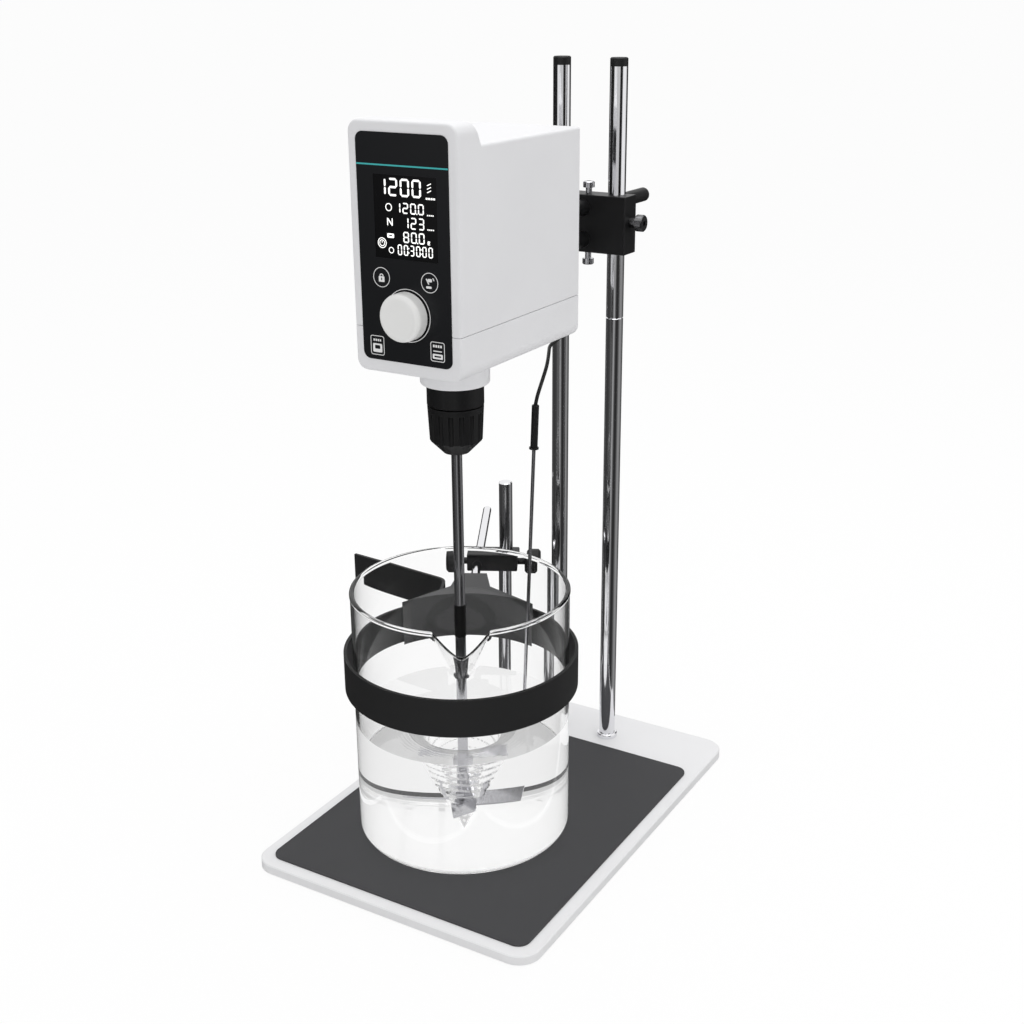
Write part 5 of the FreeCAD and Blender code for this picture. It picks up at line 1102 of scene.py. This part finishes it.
def sign(x, z, marks):
    """The loops of a sign at (x, z): each mark is its kind, its place in the sign and its sizes."""
    loops = []
    for kind, across, up, *sizes in marks:
        place = (x + across, z + up)
        if kind == "ring":
            loops += ring(*place, *sizes)
        elif kind == "box":
            loops.append(rounded_points(*place, *sizes))
        elif kind == "bow":
            loops.append(bow(*place, *sizes))
        elif kind == "dashes":
            loops += dashes(*place, *sizes)
        elif kind == "bar":
            end_x, end_z, width = sizes
            loops.append(bar(*place, x + end_x, z + end_z, width))
        elif kind == "outline":
            loops.append([(place[0] + point[0], place[1] + point[1]) for point in sizes])
    return loops


# Rows of figures in millimetres: text, end past the edge, foot below the display's top, and then the
# width, height, stroke and pitch of a figure
FIGURES_EDGE = 12.0
FIGURE_ROWS = [
    ("1200", 0.0, 13.5, 7.2, 11.6, 1.35, 9.2),
    ("120.0", 1.8, 24.2, 4.5, 7.0, 0.85, 6.1),
    ("123", 1.8, 33.9, 4.5, 7.6, 0.85, 6.1),
    ("80.0", 1.8, 43.0, 4.5, 7.2, 0.85, 6.1),
    ("00:30:00", 8.0, 51.4, 3.4, 7.0, 0.75, 4.85),
]

# Signs of the display in millimetres: right of its left edge, below its top, marks
LEFT_SIGNS = [
    (11.6, 20.8, [("ring", 0, 0, 2.6, 0.6)]),
    (12.2, 30.2, [("outline", 0, 0, (-2.2, -2.4), (-2.2, 2.4), (-1.4, 2.4), (1.5, -1.1), (1.5, 2.4),
                   (2.2, 2.4), (2.2, -2.4), (1.4, -2.4), (-1.5, 1.1), (-1.5, -2.4))]),
    (12.4, 39.2, [("box", 0, 0, 5.4, 2.9, 0.7), ("box", 0, 0, 2.4, 0.9, 0.3)]),
    (5.4, 44.4, [("ring", 0, 0, 3.5, 0.55), ("ring", 0, 0, 2.2, 0.5), ("bar", 0, 0, 0, 1.4, 0.5)]),
    (12.6, 48.7, [("ring", 0, 0, 2.1, 0.55)]),
]

# Signs at the right edge: below the display's top, marks
UNITS_EDGE = 5.2
SMALL_UNIT = [("dashes", -2.6, 0, 0.9, 1.4, 4, 0.8)]
RIGHT_SIGNS = [
    (9.6, [("bar", -2.0, 0, 1.0, 1.4, 0.6), ("bar", -2.0, 2.2, 1.0, 3.6, 0.6),
           ("bar", -2.0, 4.4, 1.0, 5.8, 0.6)]),
    (13.4, [("dashes", -3.2, 0, 1.4, 1.9, 4, 1.2)]),
    (24.0, SMALL_UNIT),
    (33.2, SMALL_UNIT),
    (42.8, [("bar", -2.4, 0, -0.8, 0, 0.5), ("bar", -2.4, 2.0, -0.8, 2.0, 0.5),
            ("bar", -2.4, 0, -2.4, 2.0, 0.5)]),
]


class STIRRER_OT_display(bpy.types.Operator):
    """Lights the figures and icons of the display"""
    bl_idname = "stirrer.display"
    bl_label = "Display"

    def execute(self, context):
        depth = context.scene.stirrer_display.mark_depth
        left, right, high = DISPLAY_LOW.x / MM, DISPLAY_HIGH.x / MM, DISPLAY_HIGH.z / MM
        lit = lit_and_painted_glow("display_white", (0.9, 0.9, 0.88), 0.75)
        edge = right - FIGURES_EDGE
        loops = []
        for written, past, drop, *sizes in FIGURE_ROWS:
            loops += figures(written, edge + past, high - drop, *sizes)
        inlay("display_figures", loops, DISPLAY_Y, depth, lit)
        loops = []
        for across, drop, marks in LEFT_SIGNS:
            loops += sign(left + across, high - drop, marks)
        for drop, marks in RIGHT_SIGNS:
            loops += sign(right - UNITS_EDGE, high - drop, marks)
        inlay("display_icons", loops, DISPLAY_Y, depth, lit)
        return {"FINISHED"}


# Keys of the panel in millimetres: place of each key, and the marks of its outline and sign
ROUND_KEY = [("ring", 0, 0, 6.7, 0.45)]
SQUARE_KEY = [("box", 0, 0, 11.2, 13.4, 1.6), ("box", 0, 0, 10.3, 12.5, 1.2)]
KEYS = [
    (-18.8, 466.0, ROUND_KEY + [
        ("box", 0, -1.2, 4.6, 3.8, 0.5), ("box", 0, -1.1, 0.9, 1.7, 0.4), ("bow", 0, 0.9, 1.6, 0.65),
    ]),
    (19.6, 465.8, ROUND_KEY + [
        ("box", 0.2, 1.6, 3.4, 2.2, 0.6), ("bar", -2.6, 2.6, -0.6, -1.0, 0.8),
        ("bar", 2.6, 3.4, 3.6, 1.6, 0.6), ("box", -0.6, -3.0, 4.4, 1.5, 0.7),
    ]),
    (-24.3, 419.1, SQUARE_KEY + [
        ("dashes", -3.2, 3.6, 1.1, 1.7, 4, 1.5),
        ("box", 0, -1.8, 7.6, 6.0, 0.8), ("box", 0, -1.2, 4.4, 2.6, 0.6),
    ]),
    (24.6, 420.3, SQUARE_KEY + [
        ("dashes", -3.6, 3.8, 1.3, 1.9, 4, 1.7), ("bar", -3.4, 0.4, 3.4, 0.4, 0.7),
        ("box", 0, -3.2, 8.0, 3.4, 0.6), ("box", 0, -3.2, 5.4, 1.1, 0.3),
    ]),
]
LINE_MARGIN = 0.3
KNOB_RING = (18.0, 0.5, 96)


class STIRRER_OT_panel_marks(bpy.types.Operator):
    """Prints the coloured line, the keys and the ring round the knob on the front panel"""
    bl_idname = "stirrer.panel_marks"
    bl_label = "Panel marks"

    def execute(self, context):
        settings = context.scene.stirrer_display
        start, end = FASCIA_LOW.x / MM + LINE_MARGIN, FASCIA_HIGH.x / MM - LINE_MARGIN
        height = FASCIA_HIGH.z / MM - settings.line_drop / MM
        # The printed line and marks emit a little light: painted light, as print gives none.
        teal = lit_and_painted_glow("line_teal_painted_glow", (0.03, 0.33, 0.33), 0.25)
        pale = lit_and_painted_glow("print_white_painted_glow", (0.72, 0.72, 0.72), 0.1)
        keys = []
        for x, z, marks in KEYS:
            keys += sign(x, z, marks)
        for name, loops, ink in (
            ("panel_line", [bar(start, height, end, height, settings.line_width / MM)], teal),
            ("key_marks", keys, pale),
            ("knob_ring", ring(KNOB_AXIS.x / MM, KNOB_AXIS.z / MM, *KNOB_RING), pale),
        ):
            inlay(name, loops, FASCIA_Y, settings.mark_depth, ink)
        return {"FINISHED"}


class STIRRER_PT_dressing(bpy.types.Panel):
    """Lists the steps of the dressing"""
    bl_idname = "STIRRER_PT_dressing"
    bl_label = "Stirrer"
    bl_space_type = "VIEW_3D"
    bl_region_type = "UI"
    bl_category = "Stirrer"

    def draw(self, context):
        for operator in OPERATORS:
            self.layout.operator(operator.bl_idname)
        for name in SETTINGS:
            box = self.layout.box()
            group = getattr(context.scene, name)
            for prop in group.bl_rna.properties:
                if prop.identifier not in ("rna_type", "name"):
                    box.prop(group, prop.identifier)


SETTINGS = {
    "stirrer_stage": StageSettings,
    "stirrer_glassware": GlasswareSettings,
    "stirrer_display": DisplaySettings,
    "stirrer_lead": LeadSettings,
}
OPERATORS = [
    STIRRER_OT_finishes, STIRRER_OT_stage, STIRRER_OT_probe_lead, STIRRER_OT_beaker, STIRRER_OT_liquid,
    STIRRER_OT_display, STIRRER_OT_panel_marks,
]


def register():
    for name, settings in SETTINGS.items():
        bpy.utils.register_class(settings)
        setattr(bpy.types.Scene, name, bpy.props.PointerProperty(type=settings))
    for operator in OPERATORS:
        bpy.utils.register_class(operator)
    bpy.utils.register_class(STIRRER_PT_dressing)


def unregister():
    bpy.utils.unregister_class(STIRRER_PT_dressing)
    for operator in reversed(OPERATORS):
        bpy.utils.unregister_class(operator)
    for name, settings in SETTINGS.items():
        delattr(bpy.types.Scene, name)
        bpy.utils.unregister_class(settings)


def main():
    register()
    for operator in OPERATORS:
        family, name = operator.bl_idname.split(".")
        getattr(getattr(bpy.ops, family), name)()


if __name__ == "__main__":
    main()
